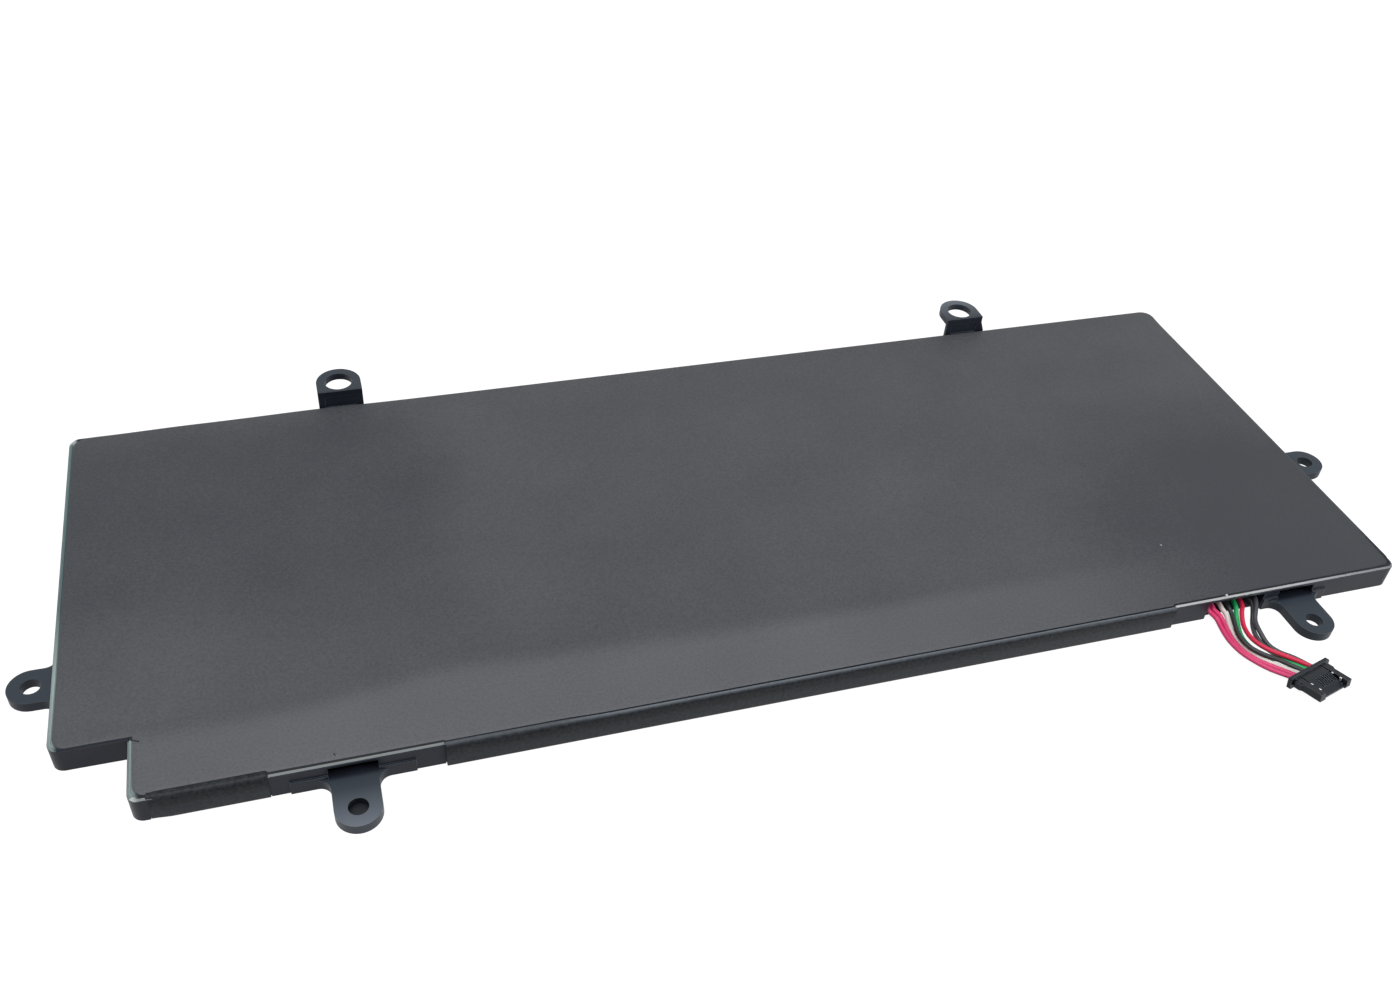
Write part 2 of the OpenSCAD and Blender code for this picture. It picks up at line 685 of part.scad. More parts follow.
module wire_pink_1() color("#d9416e") wire(0);
module wire_pink_2() color("#d9416e") wire(1);
module wire_white() color("#dcdcd2") wire(2);
module wire_black() color("#2a2628") wire(3);
module wire_green() color("#2fa060") wire(4);
module wire_red() color("#d02a48") wire(5);
module wire_grey_1() color("#4a4a50") wire(6);
module wire_grey_2() color("#4a4a50") wire(7);

// Solder joint behind the start of each wire, on the board
module solder_joints() color("#c4c6c8")
    for (x = BOARD_X)
        translate([lead_x + x - wire_d / 2, solder_y, board_top])
            cube([wire_d, solder_l, lead_z - board_top + wire_d / 2]);

// Block that catches in the socket, on one side of the body
module latch_block() {
    translate([plug_w / 2, 0, body_z + latch_z]) linear_extrude(plug_h - 2 * latch_z)
        polygon([[-arm_w / 2, -latch_y0], [latch_out, -latch_y0], [latch_out, -latch_y1],
                 [0, -latch_y2], [-arm_w / 2, -latch_y2]]);
}

module connector_housing() color("#1b1c1f") at_plug() difference() {
    union() {
        translate([-plug_w / 2, -plug_l, body_z]) cube([plug_w, plug_l, plug_h]);
        translate([-flange_w / 2, 0, 0]) rotate([90, 0, 0])
            linear_extrude(flange_t) round_rect(flange_w, flange_h, flange_r);
        latch_block();
        mirror([1, 0, 0]) latch_block();
    }
    // between the arms the body slopes down to its mouth and stops short of their tips
    along_x(-mid_w / 2, mid_w)
        polygon([[-ramp_y, body_top + CLEAR], [-ramp_y, body_top],
                 [-slot_y1, body_top - ramp_drop], [mouth_back - plug_l, mouth_z],
                 [mouth_back - plug_l, -CLEAR], [-plug_l - CLEAR, -CLEAR],
                 [-plug_l - CLEAR, body_top + CLEAR]]);
    for (i = [0 : CONTACTS - 1])
        translate([contact_x(i) - contact_slot_w / 2, -slot_y1, slot_z])
            cube([contact_slot_w, slot_y1 - slot_y0, plug_h]);
    for (side = [-1, 1])
        translate([side * slit_x - slit_w / 2, -plug_l - CLEAR, spring_z])
            cube([slit_w, plug_l + CLEAR - flange_t, plug_h]);
}

module connector_contacts() color("#c9b27a") at_plug()
    for (i = [0 : CONTACTS - 1])
        translate([contact_x(i) - contact_slot_w / 2 + contact_gap,
                   contact_gap - slot_y1, slot_z])
            cube([contact_slot_w - 2 * contact_gap, slot_y1 - slot_y0 - 2 * contact_gap,
                  contact_t]);

// Thin leaf in each slit, with two tips that stand up to the body's top
module connector_springs() color("#d5d8da") at_plug()
    for (side = [-1, 1])
        translate([side * slit_x - slit_w / 2 + contact_gap, 0, spring_z]) {
            translate([0, -spring_y1, 0])
                cube([slit_w - 2 * contact_gap, spring_y1 - spring_y0, spring_h]);
            for (tip = spring_tips)
                translate([0, -tip - spring_tip_l / 2, 0])
                    cube([slit_w - 2 * contact_gap, spring_tip_l, body_top - spring_z]);
        }

frame();
top_film();
bottom_film();
long_edge_wrap();
short_edge_wrap();
edge_foam();
cell_1();
cell_2();
cell_3();
cell_4();
positive_tabs();
negative_tabs();
upper_adhesive_pads();
lower_adhesive_pads();
protection_board();
weld_pads();
tab_tape();
control_chip();
second_protector();
mosfets();
chip_fuse();
sense_resistor();
thermal_cutoffs();
balance_resistors();
capacitors();
resistors();
thermistor();
solder_joints();
wire_pink_1();
wire_pink_2();
wire_white();
wire_black();
wire_green();
wire_red();
wire_grey_1();
wire_grey_2();
connector_housing();
connector_contacts();
connector_springs();
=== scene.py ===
"""Flat lithium polymer pack, dressed on its CAD frame: matt film over a moulded frame, folded edge
wraps, six screw ears and a short lead of eight thin wires with a flat plug."""
import json
import math

import bmesh
import bpy
from mathutils import Matrix, Vector, noise
from mathutils.bvhtree import BVHTree


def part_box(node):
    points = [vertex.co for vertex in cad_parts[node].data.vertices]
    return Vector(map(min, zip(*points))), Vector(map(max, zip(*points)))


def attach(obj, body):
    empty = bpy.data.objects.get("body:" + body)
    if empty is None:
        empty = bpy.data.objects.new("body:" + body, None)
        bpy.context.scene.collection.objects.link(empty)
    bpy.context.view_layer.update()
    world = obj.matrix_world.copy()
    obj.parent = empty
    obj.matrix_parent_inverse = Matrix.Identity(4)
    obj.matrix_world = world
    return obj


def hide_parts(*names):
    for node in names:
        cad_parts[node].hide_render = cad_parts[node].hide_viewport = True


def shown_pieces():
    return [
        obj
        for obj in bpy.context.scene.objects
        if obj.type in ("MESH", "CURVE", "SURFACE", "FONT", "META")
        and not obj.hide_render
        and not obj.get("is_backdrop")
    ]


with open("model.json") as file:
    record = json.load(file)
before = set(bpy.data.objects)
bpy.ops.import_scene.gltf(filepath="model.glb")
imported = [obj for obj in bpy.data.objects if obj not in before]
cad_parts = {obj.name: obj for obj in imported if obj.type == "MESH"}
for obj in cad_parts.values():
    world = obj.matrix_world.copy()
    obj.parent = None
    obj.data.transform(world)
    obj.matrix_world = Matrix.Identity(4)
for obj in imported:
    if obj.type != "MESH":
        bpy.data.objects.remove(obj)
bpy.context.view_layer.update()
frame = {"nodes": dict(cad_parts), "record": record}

MM = 0.001


def linear(code):
    """An sRGB hex colour as linear red, green, blue and alpha."""
    parts = [int(code[i:i + 2], 16) / 255 for i in (1, 3, 5)]
    return [c / 12.92 if c <= 0.04045 else ((c + 0.055) / 1.055) ** 2.4 for c in parts] + [1.0]


# ---- camera --------------------------------------------------------------------------------------

CAMERA_AT = Vector((-0.09138, -0.22689, 0.21517))
CAMERA_AIM = Vector((-0.00464, 0.00898, 0.0))
CAMERA_ROLL = 5.12      # degrees, clockwise picture
LENS_MM = 34.41
SENSOR_MM = 36.0
PHOTO_W, PHOTO_H = 1400, 1000
PHOTO_LONG = max(PHOTO_W, PHOTO_H)

camera = bpy.data.objects.new("camera", bpy.data.cameras.new("camera"))
bpy.context.scene.collection.objects.link(camera)
bpy.context.scene.camera = camera
camera.data.lens = LENS_MM
camera.data.sensor_width = SENSOR_MM
camera.data.sensor_fit = "AUTO"
camera.data.clip_start, camera.data.clip_end = 0.01, 20
aimed = (CAMERA_AIM - CAMERA_AT).to_track_quat("-Z", "Y").to_matrix()
camera.matrix_world = Matrix.Translation(CAMERA_AT) @ (
    aimed @ Matrix.Rotation(math.radians(CAMERA_ROLL), 3, "Z")).to_4x4()


def sight(x, y):
    """The ray through a point of the photograph, from the camera."""
    across = x - PHOTO_W / 2 + camera.data.shift_x * PHOTO_LONG
    up = PHOTO_H / 2 - y + camera.data.shift_y * PHOTO_LONG
    ahead = -PHOTO_LONG * LENS_MM / SENSOR_MM
    return camera.matrix_world.to_3x3() @ Vector((across, up, ahead)).normalized()


def seen_at(point):
    """Where a point of the model shows in the photograph's frame."""
    p = camera.matrix_world.inverted() @ Vector(point)
    k = PHOTO_LONG * LENS_MM / SENSOR_MM / -p.z
    return (PHOTO_W / 2 - camera.data.shift_x * PHOTO_LONG + p.x * k,
            PHOTO_H / 2 + camera.data.shift_y * PHOTO_LONG - p.y * k)


# Places in the photograph's 1400 by 1000 frame
POINTS = {
    "object_left_x": 5.1, "object_right_x": 1392.2, "object_top_y": 300.4, "object_bottom_y": 834.1,
    "back_left_corner": (77, 442.4), "back_right_corner": (1146.5, 313.1),
    "notch_front_corner": (130.8, 801.7),
    "long_wrap_left_end": (445.5, 744.3), "long_wrap_right_end": (1176.8, 608.8),
    "back_left_hole": (338.2, 381.4), "back_right_hole": (959.3, 310.8),
    "left_hole": (30.1, 686.8), "right_hole": (1304.5, 462),
    "front_left_hole": (358.5, 806.5), "front_right_hole": (1314, 619.5),
    "notch_crease": (132, 739), "film_nick": (334.4, 754.4), "pale_speck": (1161, 545),
    "dark_speck": (1225.8, 573), "rim_fleck": (1226.5, 596),
}

# ---- sizes that the pieces share -----------------------------------------------------------------

film_low, film_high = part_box("top_film")
wrap_low, wrap_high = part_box("long_edge_wrap")
flap_low, flap_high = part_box("short_edge_wrap")

RIM_W = 1.0 * MM
FRONT = film_low.y - RIM_W          # outer face of the frame's front wall
BACK = film_high.y + RIM_W
LEFT = film_low.x - RIM_W
RIGHT = film_high.x + RIM_W
LENGTH, WIDTH = 300, 113.5          # of the frame, in mm
FILM_TOP = film_high.z
RIM_TOP = FILM_TOP - 0.1 * MM
FILM_T = 0.3 * MM

LOW_EAR_HOLE, LOW_EAR_TOP = 2.0, 2.3    # radius and height of a hole's upper edge, in mm
RAISED_EAR_HOLE, RAISED_EAR_TOP = 3.4, 10.7
# Each ear's hole: its middle in mm from the frame's left and front faces, its radius and its top
HOLES = {
    "back_left_hole": (64.2, WIDTH + 4.5, RAISED_EAR_HOLE, RAISED_EAR_TOP),
    "back_right_hole": (238.7, WIDTH + 4.5, RAISED_EAR_HOLE, RAISED_EAR_TOP),
    "left_hole": (-4.8, 37, LOW_EAR_HOLE, LOW_EAR_TOP),
    "right_hole": (LENGTH + 6.8, 43.5, LOW_EAR_HOLE, LOW_EAR_TOP),
    "front_left_hole": (55.2, -8, LOW_EAR_HOLE, LOW_EAR_TOP),
    "front_right_hole": (271.8, -8, LOW_EAR_HOLE, LOW_EAR_TOP),
}
BLIND_HOLE = (LEFT + 55.2 * MM, FRONT - 8 * MM, 0)      # middle of the front left ear's hole


def smooth(t):
    """An even ease from 0 to 1 as t goes from 0 to 1."""
    t = min(max(t, 0.0), 1.0)
    return t * t * (3 - 2 * t)


def piece_from(name, mesh_data, slot_name, *replaced):
    """Adds a finished mesh as a piece that rides on the pack."""
    mesh = bpy.data.meshes.new(name)
    mesh_data.to_mesh(mesh)
    mesh_data.free()
    piece = bpy.data.objects.new(name, mesh)
    bpy.context.scene.collection.objects.link(piece)
    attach(piece, "root")
    if replaced:
        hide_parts(*replaced)
    return piece


# ---- lead: eight thin wires, bowed to the left and run into the plug -----------------------------

WIRE_D = 1.1 * MM
LEAD_AT = Vector((RIGHT - 44.5 * MM, FRONT, 0))     # middle of the wire slot
LEAD_STEPS = 3          # points drawn between two route points
PLUG_NODES = ["connector_housing", "connector_contacts", "connector_springs"]
PLUG_AT = (4.95, -21.4)     # from the middle of the wire slot, in mm
PLUG_TURN = math.radians(15)
PLUG_TILT = math.radians(10)
INTO_PLUG = 0.4         # mm that a wire runs on inside the plug's rear face
SOLDER_Y, EDGE_Y = 7.7, 3.0     # solder joints and the board's edge, in mm behind the front face
LEAD_Z = 2.8            # height of the solder joints
WIRES = ["pink_1", "pink_2", "white", "black", "green", "red", "grey_1", "grey_2"]
# Each wire's place across the board, and across and up the plug's rear face, in mm
BOARD_X = [-6.7, -5.3, -3.2, -1.4, 0.5, 2.3, 4.5, 6.1]
WIRE_ENDS = [(-3.95, 1.5), (-2.8, 1.5), (-1.5, 1.5), (-0.25, 1.5),
             (1, 1.5), (2.3, 1.78), (2.5, 0.64), (3.65, 0.66)]
# The same points as in the part's source, in millimetres from the middle of the wire slot
ROUTES = [
    [(-6.7, 0.2, 2.2), (-5.55, -1.61, 1.24), (-5.84, -4.34, 0.85),
     (-6.35, -8.06, 0.91), (-5.88, -11.88, 0.95), (-4.41, -15.13, 0.96), (-2.31, -18.33, 1.06)],
    [(-5.3, 0.2, 2.2), (-4.28, -1.19, 1.43), (-4.63, -4.2, 0.92),
     (-5.18, -7.74, 0.69), (-4.84, -11.44, 0.6), (-3.33, -14.78, 0.61), (-0.85, -17.72, 0.79)],
    [(-3.2, 0.2, 2.2), (-2.77, -1.45, 1.43), (-3.55, -4.62, 0.68),
     (-4.03, -7.91, 0.58), (-3.65, -11.34, 0.58), (-2.1, -14.39, 0.58), (0.37, -17.44, 0.7)],
    [(-1.4, 0.2, 2.2), (-1.63, -1.75, 1.72), (-2.82, -4.95, 1.55),
     (-3.95, -8.36, 1.76), (-3.55, -11.64, 1.72), (-1.75, -14.39, 1.71), (1.19, -16.89, 1.52)],
    [(0.5, 0.2, 2.2), (-0.33, -1.65, 1.62), (-1.56, -4.72, 0.74),
     (-2.59, -8.05, 0.59), (-2.29, -11.49, 0.59), (-0.68, -14.32, 0.62), (2.21, -16.51, 0.83)],
    [(2.3, 0.2, 2.2), (1.14, -1.6, 1.79), (-0.42, -4.74, 1.32),
     (-1.36, -8.32, 1.54), (-0.93, -11.27, 1.69), (0.61, -13.76, 1.7), (3.25, -16.43, 1.76)],
    [(5, 0.2, 2.2), (3.98, -2.09, 1.4), (2.34, -4.77, 0.67),
     (1.03, -7.99, 0.58), (0.93, -11.4, 0.58), (2.04, -14.16, 0.58), (4.08, -16.61, 0.6)],
    [(5.5, 0.2, 3.25), (4.1, -2.25, 2.93), (2.55, -4.79, 1.92),
     (1.97, -7.98, 1.37), (2.08, -11.23, 0.69), (3.35, -13.86, 0.59), (5.68, -16.24, 0.61)],
]


def lead_route(i):
    """Wire i's points from its solder joint to the plug, closely spaced on one smooth line."""
    across, up = WIRE_ENDS[i]
    back = up * math.sin(PLUG_TILT)
    turn, lean = (math.cos(PLUG_TURN), math.sin(PLUG_TURN)), math.cos(PLUG_TILT)
    end = Vector((PLUG_AT[0] + across * turn[0] - back * turn[1],
                  PLUG_AT[1] + across * turn[1] + back * turn[0], up * lean))
    ahead = Vector((turn[1] * lean, -turn[0] * lean, math.sin(PLUG_TILT)))
    x = BOARD_X[i]
    knots = [(x, SOLDER_Y, LEAD_Z), (x, EDGE_Y, LEAD_Z), *ROUTES[i], end, end + ahead * INTO_PLUG]
    knots = [LEAD_AT + Vector(k) * MM for k in knots]
    ends = [knots[0] * 2 - knots[1], *knots]
    points = []
    for a, b, c, d in zip(ends, ends[1:], ends[2:], ends[3:]):
        for step in range(LEAD_STEPS):
            t = step / LEAD_STEPS
            points.append(0.5 * (2 * b + (c - a) * t + (2 * a - 5 * b + 4 * c - d) * t ** 2
                                 + (3 * b - a - 3 * c + d) * t ** 3))
    return points + knots[-2:]


lead = {}
for number, colour in enumerate(WIRES):
    points = lead_route(number)
    line = bpy.data.curves.new("lead_" + colour, "CURVE")
    line.dimensions = "3D"
    line.bevel_depth = 1.0      # times each point's radius
    line.bevel_resolution = 4
    line.use_fill_caps = True
    spline = line.splines.new("POLY")
    spline.points.add(len(points) - 1)
    for knot, point in zip(spline.points, points):
        knot.co = (*point, 1)
        knot.radius = WIRE_D / 2
    spline.use_smooth = True
    wire = bpy.data.objects.new("lead_" + colour, line)
    bpy.context.scene.collection.objects.link(wire)
    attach(wire, "root")
    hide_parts("wire_" + colour)
    lead[colour] = wire


# ---- film over the top ---------------------------------------------------------------------------

# Its edges, in mm from the frame's left and front faces. It laps the rim at the right, behind and
# along the notch's back.
FILM_LEFT, FILM_FRONT = 1.0, 1.05
FILM_RIGHT, FILM_BACK = LENGTH - 0.3, WIDTH - 0.45
NOTCH = (15.5, 15.8)
# Its round outward corners: the square corner's x and y, the ways in from it, and the radius
FILM_CORNERS = [(FILM_LEFT, FILM_BACK, 1, -1, 3.6), (FILM_RIGHT, FILM_BACK, -1, -1, 3.2),
                (FILM_RIGHT, FILM_FRONT, -1, 1, 3.0), (NOTCH[0], FILM_FRONT, 1, 1, 2.8),
                (FILM_LEFT, NOTCH[1], 1, 1, 2.8)]
# Its front edge stands back behind the short wrap's roll and laps further over the long wrap:
# x from the left, and how much further in than FILM_FRONT
FRONT_EDGE = [(17, 0.1), (19.5, 0.7), (39.2, 0.7), (39.7, 0.2), (72.9, 0.15), (73.5, -0.1),
              (96, -0.1), (105, -0.4), (238.2, -0.4), (238.8, 0.1), (300, 0.2)]
FRONT_EDGE_REACH = 4    # over this depth the sheet is drawn out to its edge
# Where it leaves the cells and slopes down to the front rim
FOLD = [(0, 17), (15, 17.4), (28, 18.9), (47, 20.2), (75, 21.8), (109, 19.8), (139, 17.2),
        (177, 17.6), (229, 18), (271, 19.3), (300, 19.5)]
SLOPE = 0.016           # how steeply it slopes there
FOLD_ROUND = 5          # square of the width in which the slope begins
CROWN = 0.13            # how far it bulges over the glued middle
CROWN_REACH = 9         # in from its edges
WAVES = ((0.07, 47, 34, 0.3), (0.03, 17, 13, 4.7))      # height, length, width and place of each
STILL_EDGE = 14         # the waves die out over this much of its edge
BACK_LIFT = 0.28        # how far it stands off the rim behind
BACK_REACH = 8          # over this depth
BACK_START = (8, 20)    # the lift starts this far from the left, and grows over so much
EAR_BULGE = (0.25, 58, 14)      # lifted more beside the left raised ear: height, place and reach
EDGE_DROP = 0.09        # how far its cut edge rolls down
FILM_STEPS = (2.4, 2.2)     # between its other rows, along and across
EDGE_STOPS = (0.35, 1, 1.8, 2.8)        # rows that follow each edge, for its roll
SKIRT_GAP = 0.005       # under its cut edge, where it laps the rim
# Painted shade: a darker line along the film's cut edge
CUT_EDGE_SHADE = -1.2    # its cut edge is darker than its face
TINY = 1e-6


def along(line, x):
    """The y of a line of x and y points at x, eased from point to point."""
    x = max(x, line[0][0])
    for (xa, ya), (xb, yb) in zip(line, line[1:]):
        if x <= xb:
            return ya + (yb - ya) * smooth((x - xa) / (xb - xa))
    return line[-1][1]


def from_edge(x, y):
    """Distance in mm from the film's nearest edge."""
    edge = min(x - FILM_LEFT, FILM_RIGHT - x, FILM_BACK - y, y - FILM_FRONT)
    if x < NOTCH[0]:
        return min(edge, y - NOTCH[1])
    if y < NOTCH[1]:
        return min(edge, x - NOTCH[0])
    return min(edge, math.hypot(x - NOTCH[0], y - NOTCH[1]))


def film_rise(x, y):
    """Height of the film over its flat level, in mm."""
    edge = from_edge(x, y)
    behind = min(x - FILM_LEFT, FILM_RIGHT - x, FILM_BACK - y)
    rise = CROWN * smooth(behind / CROWN_REACH)
    wave = sum(high * noise.noise(Vector((x / long, y / wide, at)))
               for high, long, wide, at in WAVES)
    rise += wave * smooth(edge / STILL_EDGE)
    high, at, reach = EAR_BULGE
    lift = BACK_LIFT + high * math.exp(-((x - at) / reach) ** 2)
    start, run = BACK_START
    rise += lift * smooth(1 - (FILM_BACK - y) / BACK_REACH) * smooth((x - start) / run)
    ahead = along(FOLD, x) - y
    return rise - SLOPE * 0.5 * (ahead + math.sqrt(ahead * ahead + FOLD_ROUND))


def spaced(start, end, step, *stops):
    """Numbers from start to end, close at both ends and about step apart, through the stops."""
    marks = sorted([start, *(start + c for c in EDGE_STOPS), *(end - c for c in EDGE_STOPS), end,
                    *stops])
    out = []
    for a, b in zip(marks, marks[1:]):
        count = max(1, round((b - a) / step))
        out += [a + (b - a) * i / count for i in range(count)]
    return out + [end]


def round_corner(x, y):
    """Moves a point of the film's square plan so that its outward corners are round."""
    for cx, cy, sx, sy, radius in FILM_CORNERS:
        u = 1 - (x - cx) * sx / radius
        v = 1 - (y - cy) * sy / radius
        if 0 < u <= 1 and 0 < v <= 1:
            x = cx + sx * radius * (1 - u * math.sqrt(1 - v * v / 2))
            y = cy + sy * radius * (1 - v * math.sqrt(1 - u * u / 2))
            break
    return x, y


def film_sheet():
    """The film as one thin sheet with a rolled edge, its tone and its painted sheen and shade kept
    in the mesh.
    """
    nx, ny = NOTCH
    seams = [x for x, _ in FRONT_EDGE[1:-1] if x > nx + EDGE_STOPS[-1]]
    xs = spaced(FILM_LEFT, FILM_RIGHT, FILM_STEPS[0], nx, *(nx + c for c in EDGE_STOPS), *seams)
    ys = spaced(FILM_FRONT, FILM_BACK, FILM_STEPS[1], ny, *(ny + c for c in EDGE_STOPS))
    sheet = bmesh.new()
    tone = sheet.verts.layers.float.new("tone_and_painted_light")
    grid = {}
    for i, x in enumerate(xs):
        for j, y in enumerate(ys):
            if x < nx - TINY and y < ny - TINY:
                continue
            on_edge = from_edge(x, y) < TINY
            z = film_rise(x, y) - (EDGE_DROP if on_edge else 0)
            px, py = round_corner(x, y)
            py += along(FRONT_EDGE, x) * smooth(1 - (y - FILM_FRONT) / FRONT_EDGE_REACH)
            vert = sheet.verts.new((LEFT + px * MM, FRONT + py * MM, FILM_TOP + z * MM))
            vert[tone] = tone_and_painted_light(x, y)
            grid[i, j] = vert
    for i in range(len(xs) - 1):
        for j in range(len(ys) - 1):
            corners = [grid.get(k) for k in ((i, j), (i + 1, j), (i + 1, j + 1), (i, j + 1))]
            if None not in corners:
                sheet.faces.new(corners).smooth = True
    rim = [e for e in sheet.edges if e.is_boundary]
    skirt = bmesh.ops.extrude_edge_only(sheet, edges=rim)["geom"]
    for vert in (v for v in skirt if isinstance(v, bmesh.types.BMVert)):
        over_rim = (vert.co.x > RIGHT - RIM_W * 0.8 or vert.co.y > BACK - RIM_W * 0.8
                    or vert.co.x < LEFT + (nx - 0.1) * MM and vert.co.y < FRONT + (ny + 0.5) * MM)
        vert.co.z = RIM_TOP + SKIRT_GAP * MM if over_rim else FILM_TOP - FILM_T
        vert[tone] = CUT_EDGE_SHADE
    for edge in rim:
        edge.smooth = False
    bmesh.ops.recalc_face_normals(sheet, faces=sheet.faces)
    return piece_from("film_sheet", sheet, "pack_film", "top_film")


# Where the painted sheen of the loose stretch over the board begins: x from the left, y from the
# front. It sets in over SLACK_IN.
SLACK_LINE = [(0, 16), (28, 14.5), (47, 15), (62, 17), (76, 19), (100, 17.5), (139, 16),
              (177, 15.5), (229, 15), (300, 15)]
SLACK_IN = 6
# How much paler or darker the film is, and what bounds that: an axis, where it sets in along it and
# over how far, backwards if that is negative
# Painted sheen in front, where the loose film tilts down to the rim
SLACK_SHEEN = (0.95, ("x", 280, -130), ("x", -9, 30))             # in front, over the board
# Painted shade towards the right end, then a darker tone over the cell at the left and a paler one
# at its end by the notch
TONES = [(-0.85, ("x", 205, 70), ("y", 85, -50)),           # towards the right end
         (-0.5, ("x", 94, -20), ("y", 18, 50), ("y", 117, -14)),        # the cell at the left
         (0.25, ("x", 45, -30), ("y", 60, -20), ("y", 10, 12))]         # its end by the notch
BLOTS = (0.12, 38, 15, 9.1)     # strength, length, width and place of a faint unevenness


def share(x, y, strength, *bounds):
    """A strength where all its bounds hold, less where they set in, and nothing beyond them."""
    for axis, start, run in bounds:
        strength *= smooth(((x if axis == "x" else y) - start) / run)
    return strength


def tone_and_painted_light(x, y):
    """Painted sheen where the film lies loose over the board and tilts down to the front rim,
    painted shade towards the right end, darker over the cell at the left, paler at its end by the
    notch, and a faint unevenness."""
    painted_light = smooth((along(SLACK_LINE, x) - y) / SLACK_IN + 0.5)
    strength, long, wide, at = BLOTS
    return (painted_light * share(x, y, *SLACK_SHEEN) + sum(share(x, y, *tone) for tone in TONES)
            + strength * noise.noise(Vector((x / long, y / wide, at))))


# ---- folded wraps on the front edge --------------------------------------------------------------

WRAP_STEP = 1.2 * MM    # between the rings of a wrap's skin
WRAP_OUTSET = 0.02 * MM     # of its tapered end, from the frame's face
LIP_TURNS = 7           # rows round its lip, 15 degrees apart
WRAP_WAVES = ((1.0, 21, 2.2), (0.5, 7, 5.1))        # share of its wander, length and place of each
WRAP_GROWN = (0.12, 0.1)    # past this share of its length it changes, over that share
WALL_ROWS = ((0.66, 0, 0), (0.45, 0.18, 0.1), (0.24, 0, 0.15))      # height, wander and painted reflection of the floor
SHARP = math.radians(50)    # a sharper turn than this shows as an edge


def wrap_skin(name, low, high, back, lip, wander, lip_shine, node, dents=(), taper=0):
    """A strip of film folded round the front edge, with a soft uneven lip, a painted highlight
    along the top of its fold and a painted reflection of the floor low on its wall. back is how far
    it reaches behind the frame's face, lip the roundness of its fold and the lip's shine how pale
    that painted highlight is, each at its left end and from a quarter of its length on. wander is
    how uneven the fold is.
    dents are places in its wall, each with its width and depth in mm, and node is the solid that
    it stands for. taper is how much of its left end eases out from the frame's face."""
    skin = bmesh.new()
    tone = skin.verts.layers.float.new("tone_and_painted_light")
    rings = []
    length = high.x - low.x
    count = round(length / WRAP_STEP)
    for i in range(count + 1):
        x = low.x + length * i / count
        s = x / MM
        eased = smooth((x - low.x) / taper) if taper else 1
        face_y = FRONT - WRAP_OUTSET + (low.y - FRONT + WRAP_OUTSET) * eased
        sway = sum(part * wander * noise.noise(Vector((s / long, at, 0)))
                   for part, long, at in WRAP_WAVES)
        ends = smooth(min(i, count - i) / 3)
        grown = smooth((i / count - WRAP_GROWN[0]) / WRAP_GROWN[1])
        # Painted highlight along the top of the lip, stronger past its left end
        highlit = lip_shine[0] + (lip_shine[1] - lip_shine[0]) * grown
        r = lip[0] + (lip[1] - lip[0]) * grown + sway * 0.5 * ends
        end_y = FRONT + back[0] + (back[1] - back[0]) * grown
        ring = [(end_y, high.z - 0.03 * MM, 0.6 * highlit)]
        for k in range(LIP_TURNS):
            a = math.radians(90 + 15 * k)
            ring.append((face_y + r + r * math.cos(a),
                         high.z - r + r * math.sin(a) + sway * 0.25 * ends,
                         highlit * (1 - min(k / 3.5, 1))))
        dip = sum(deep * MM * math.exp(-((s - at) / wide) ** 2) for at, wide, deep in dents)
        # Painted reflection of the floor, paler on the lower rows of the wall
        for up, out, floor_sheen in WALL_ROWS:
            ring.append((face_y + (out * wander + dip) * ends,
                         low.z + (high.z - low.z) * up, floor_sheen))
        ring += [(face_y, 0.3 * MM, 0), (face_y + 0.09 * MM, 0.09 * MM, 0),
                 (face_y + 0.3 * MM, 0, 0), (end_y, 0, 0),
                 (end_y, FILM_T, 0), (face_y + FILM_T, FILM_T, 0),
                 (face_y + FILM_T, high.z - r, 0), (face_y + r, high.z - FILM_T, 0),
                 (end_y, high.z - FILM_T, 0)]
        verts = []
        for y, z, t in ring:
            verts.append(skin.verts.new((x, y, z)))
            verts[-1][tone] = t
        rings.append(verts)
    around = len(rings[0])
    for a, b in zip(rings, rings[1:]):
        for k in range(around):
            n = (k + 1) % around
            skin.faces.new((a[k], b[k], b[n], a[n])).smooth = True
    skin.faces.new(rings[0])
    skin.faces.new(reversed(rings[-1]))
    bmesh.ops.recalc_face_normals(skin, faces=skin.faces)
    for edge in skin.edges:
        if len(edge.link_faces) == 2 and edge.calc_face_angle(0) > SHARP:
            edge.smooth = False
    return piece_from(name, skin, "edge_film", node)


# ---- materials -----------------------------------------------------------------------------------

def join(tree, node, links):
    """Sets a node's sockets, or links them to the socket that is given. A node that is given is
    linked by its first output in use."""
    for socket, value in links.items():
        if isinstance(value, bpy.types.Node):
            value = next(output for output in value.outputs if output.enabled)
        if isinstance(value, bpy.types.NodeSocket):
            tree.links.new(value, node.inputs[socket])
        else:
            node.inputs[socket].default_value = value


def add(tree, kind, links=None, stops=(), **settings):
    """Adds one node with its settings and links, and for a colour ramp its stops, each a place
    and a colour."""
    node = tree.nodes.new(kind)
    for key, value in settings.items():
        setattr(node, key, value)
    join(tree, node, links or {})
    if stops:
        elements = node.color_ramp.elements
        while len(elements) < len(stops):
            elements.new(0.5)
        for element, (place, code) in zip(elements, stops):
            element.position, element.color = place, linear(code)
    return node


def new_material(name, ior, specular, metallic=0.0):
    """A material with a Principled shader and the values that are the same all over it."""
    material = bpy.data.materials.new(name)
    material.use_nodes = True
    tree = material.node_tree
    shader = tree.nodes["Principled BSDF"]
    join(tree, shader, {"Metallic": metallic, "IOR": ior, "Specular IOR Level": specular})
    return material, tree, shader


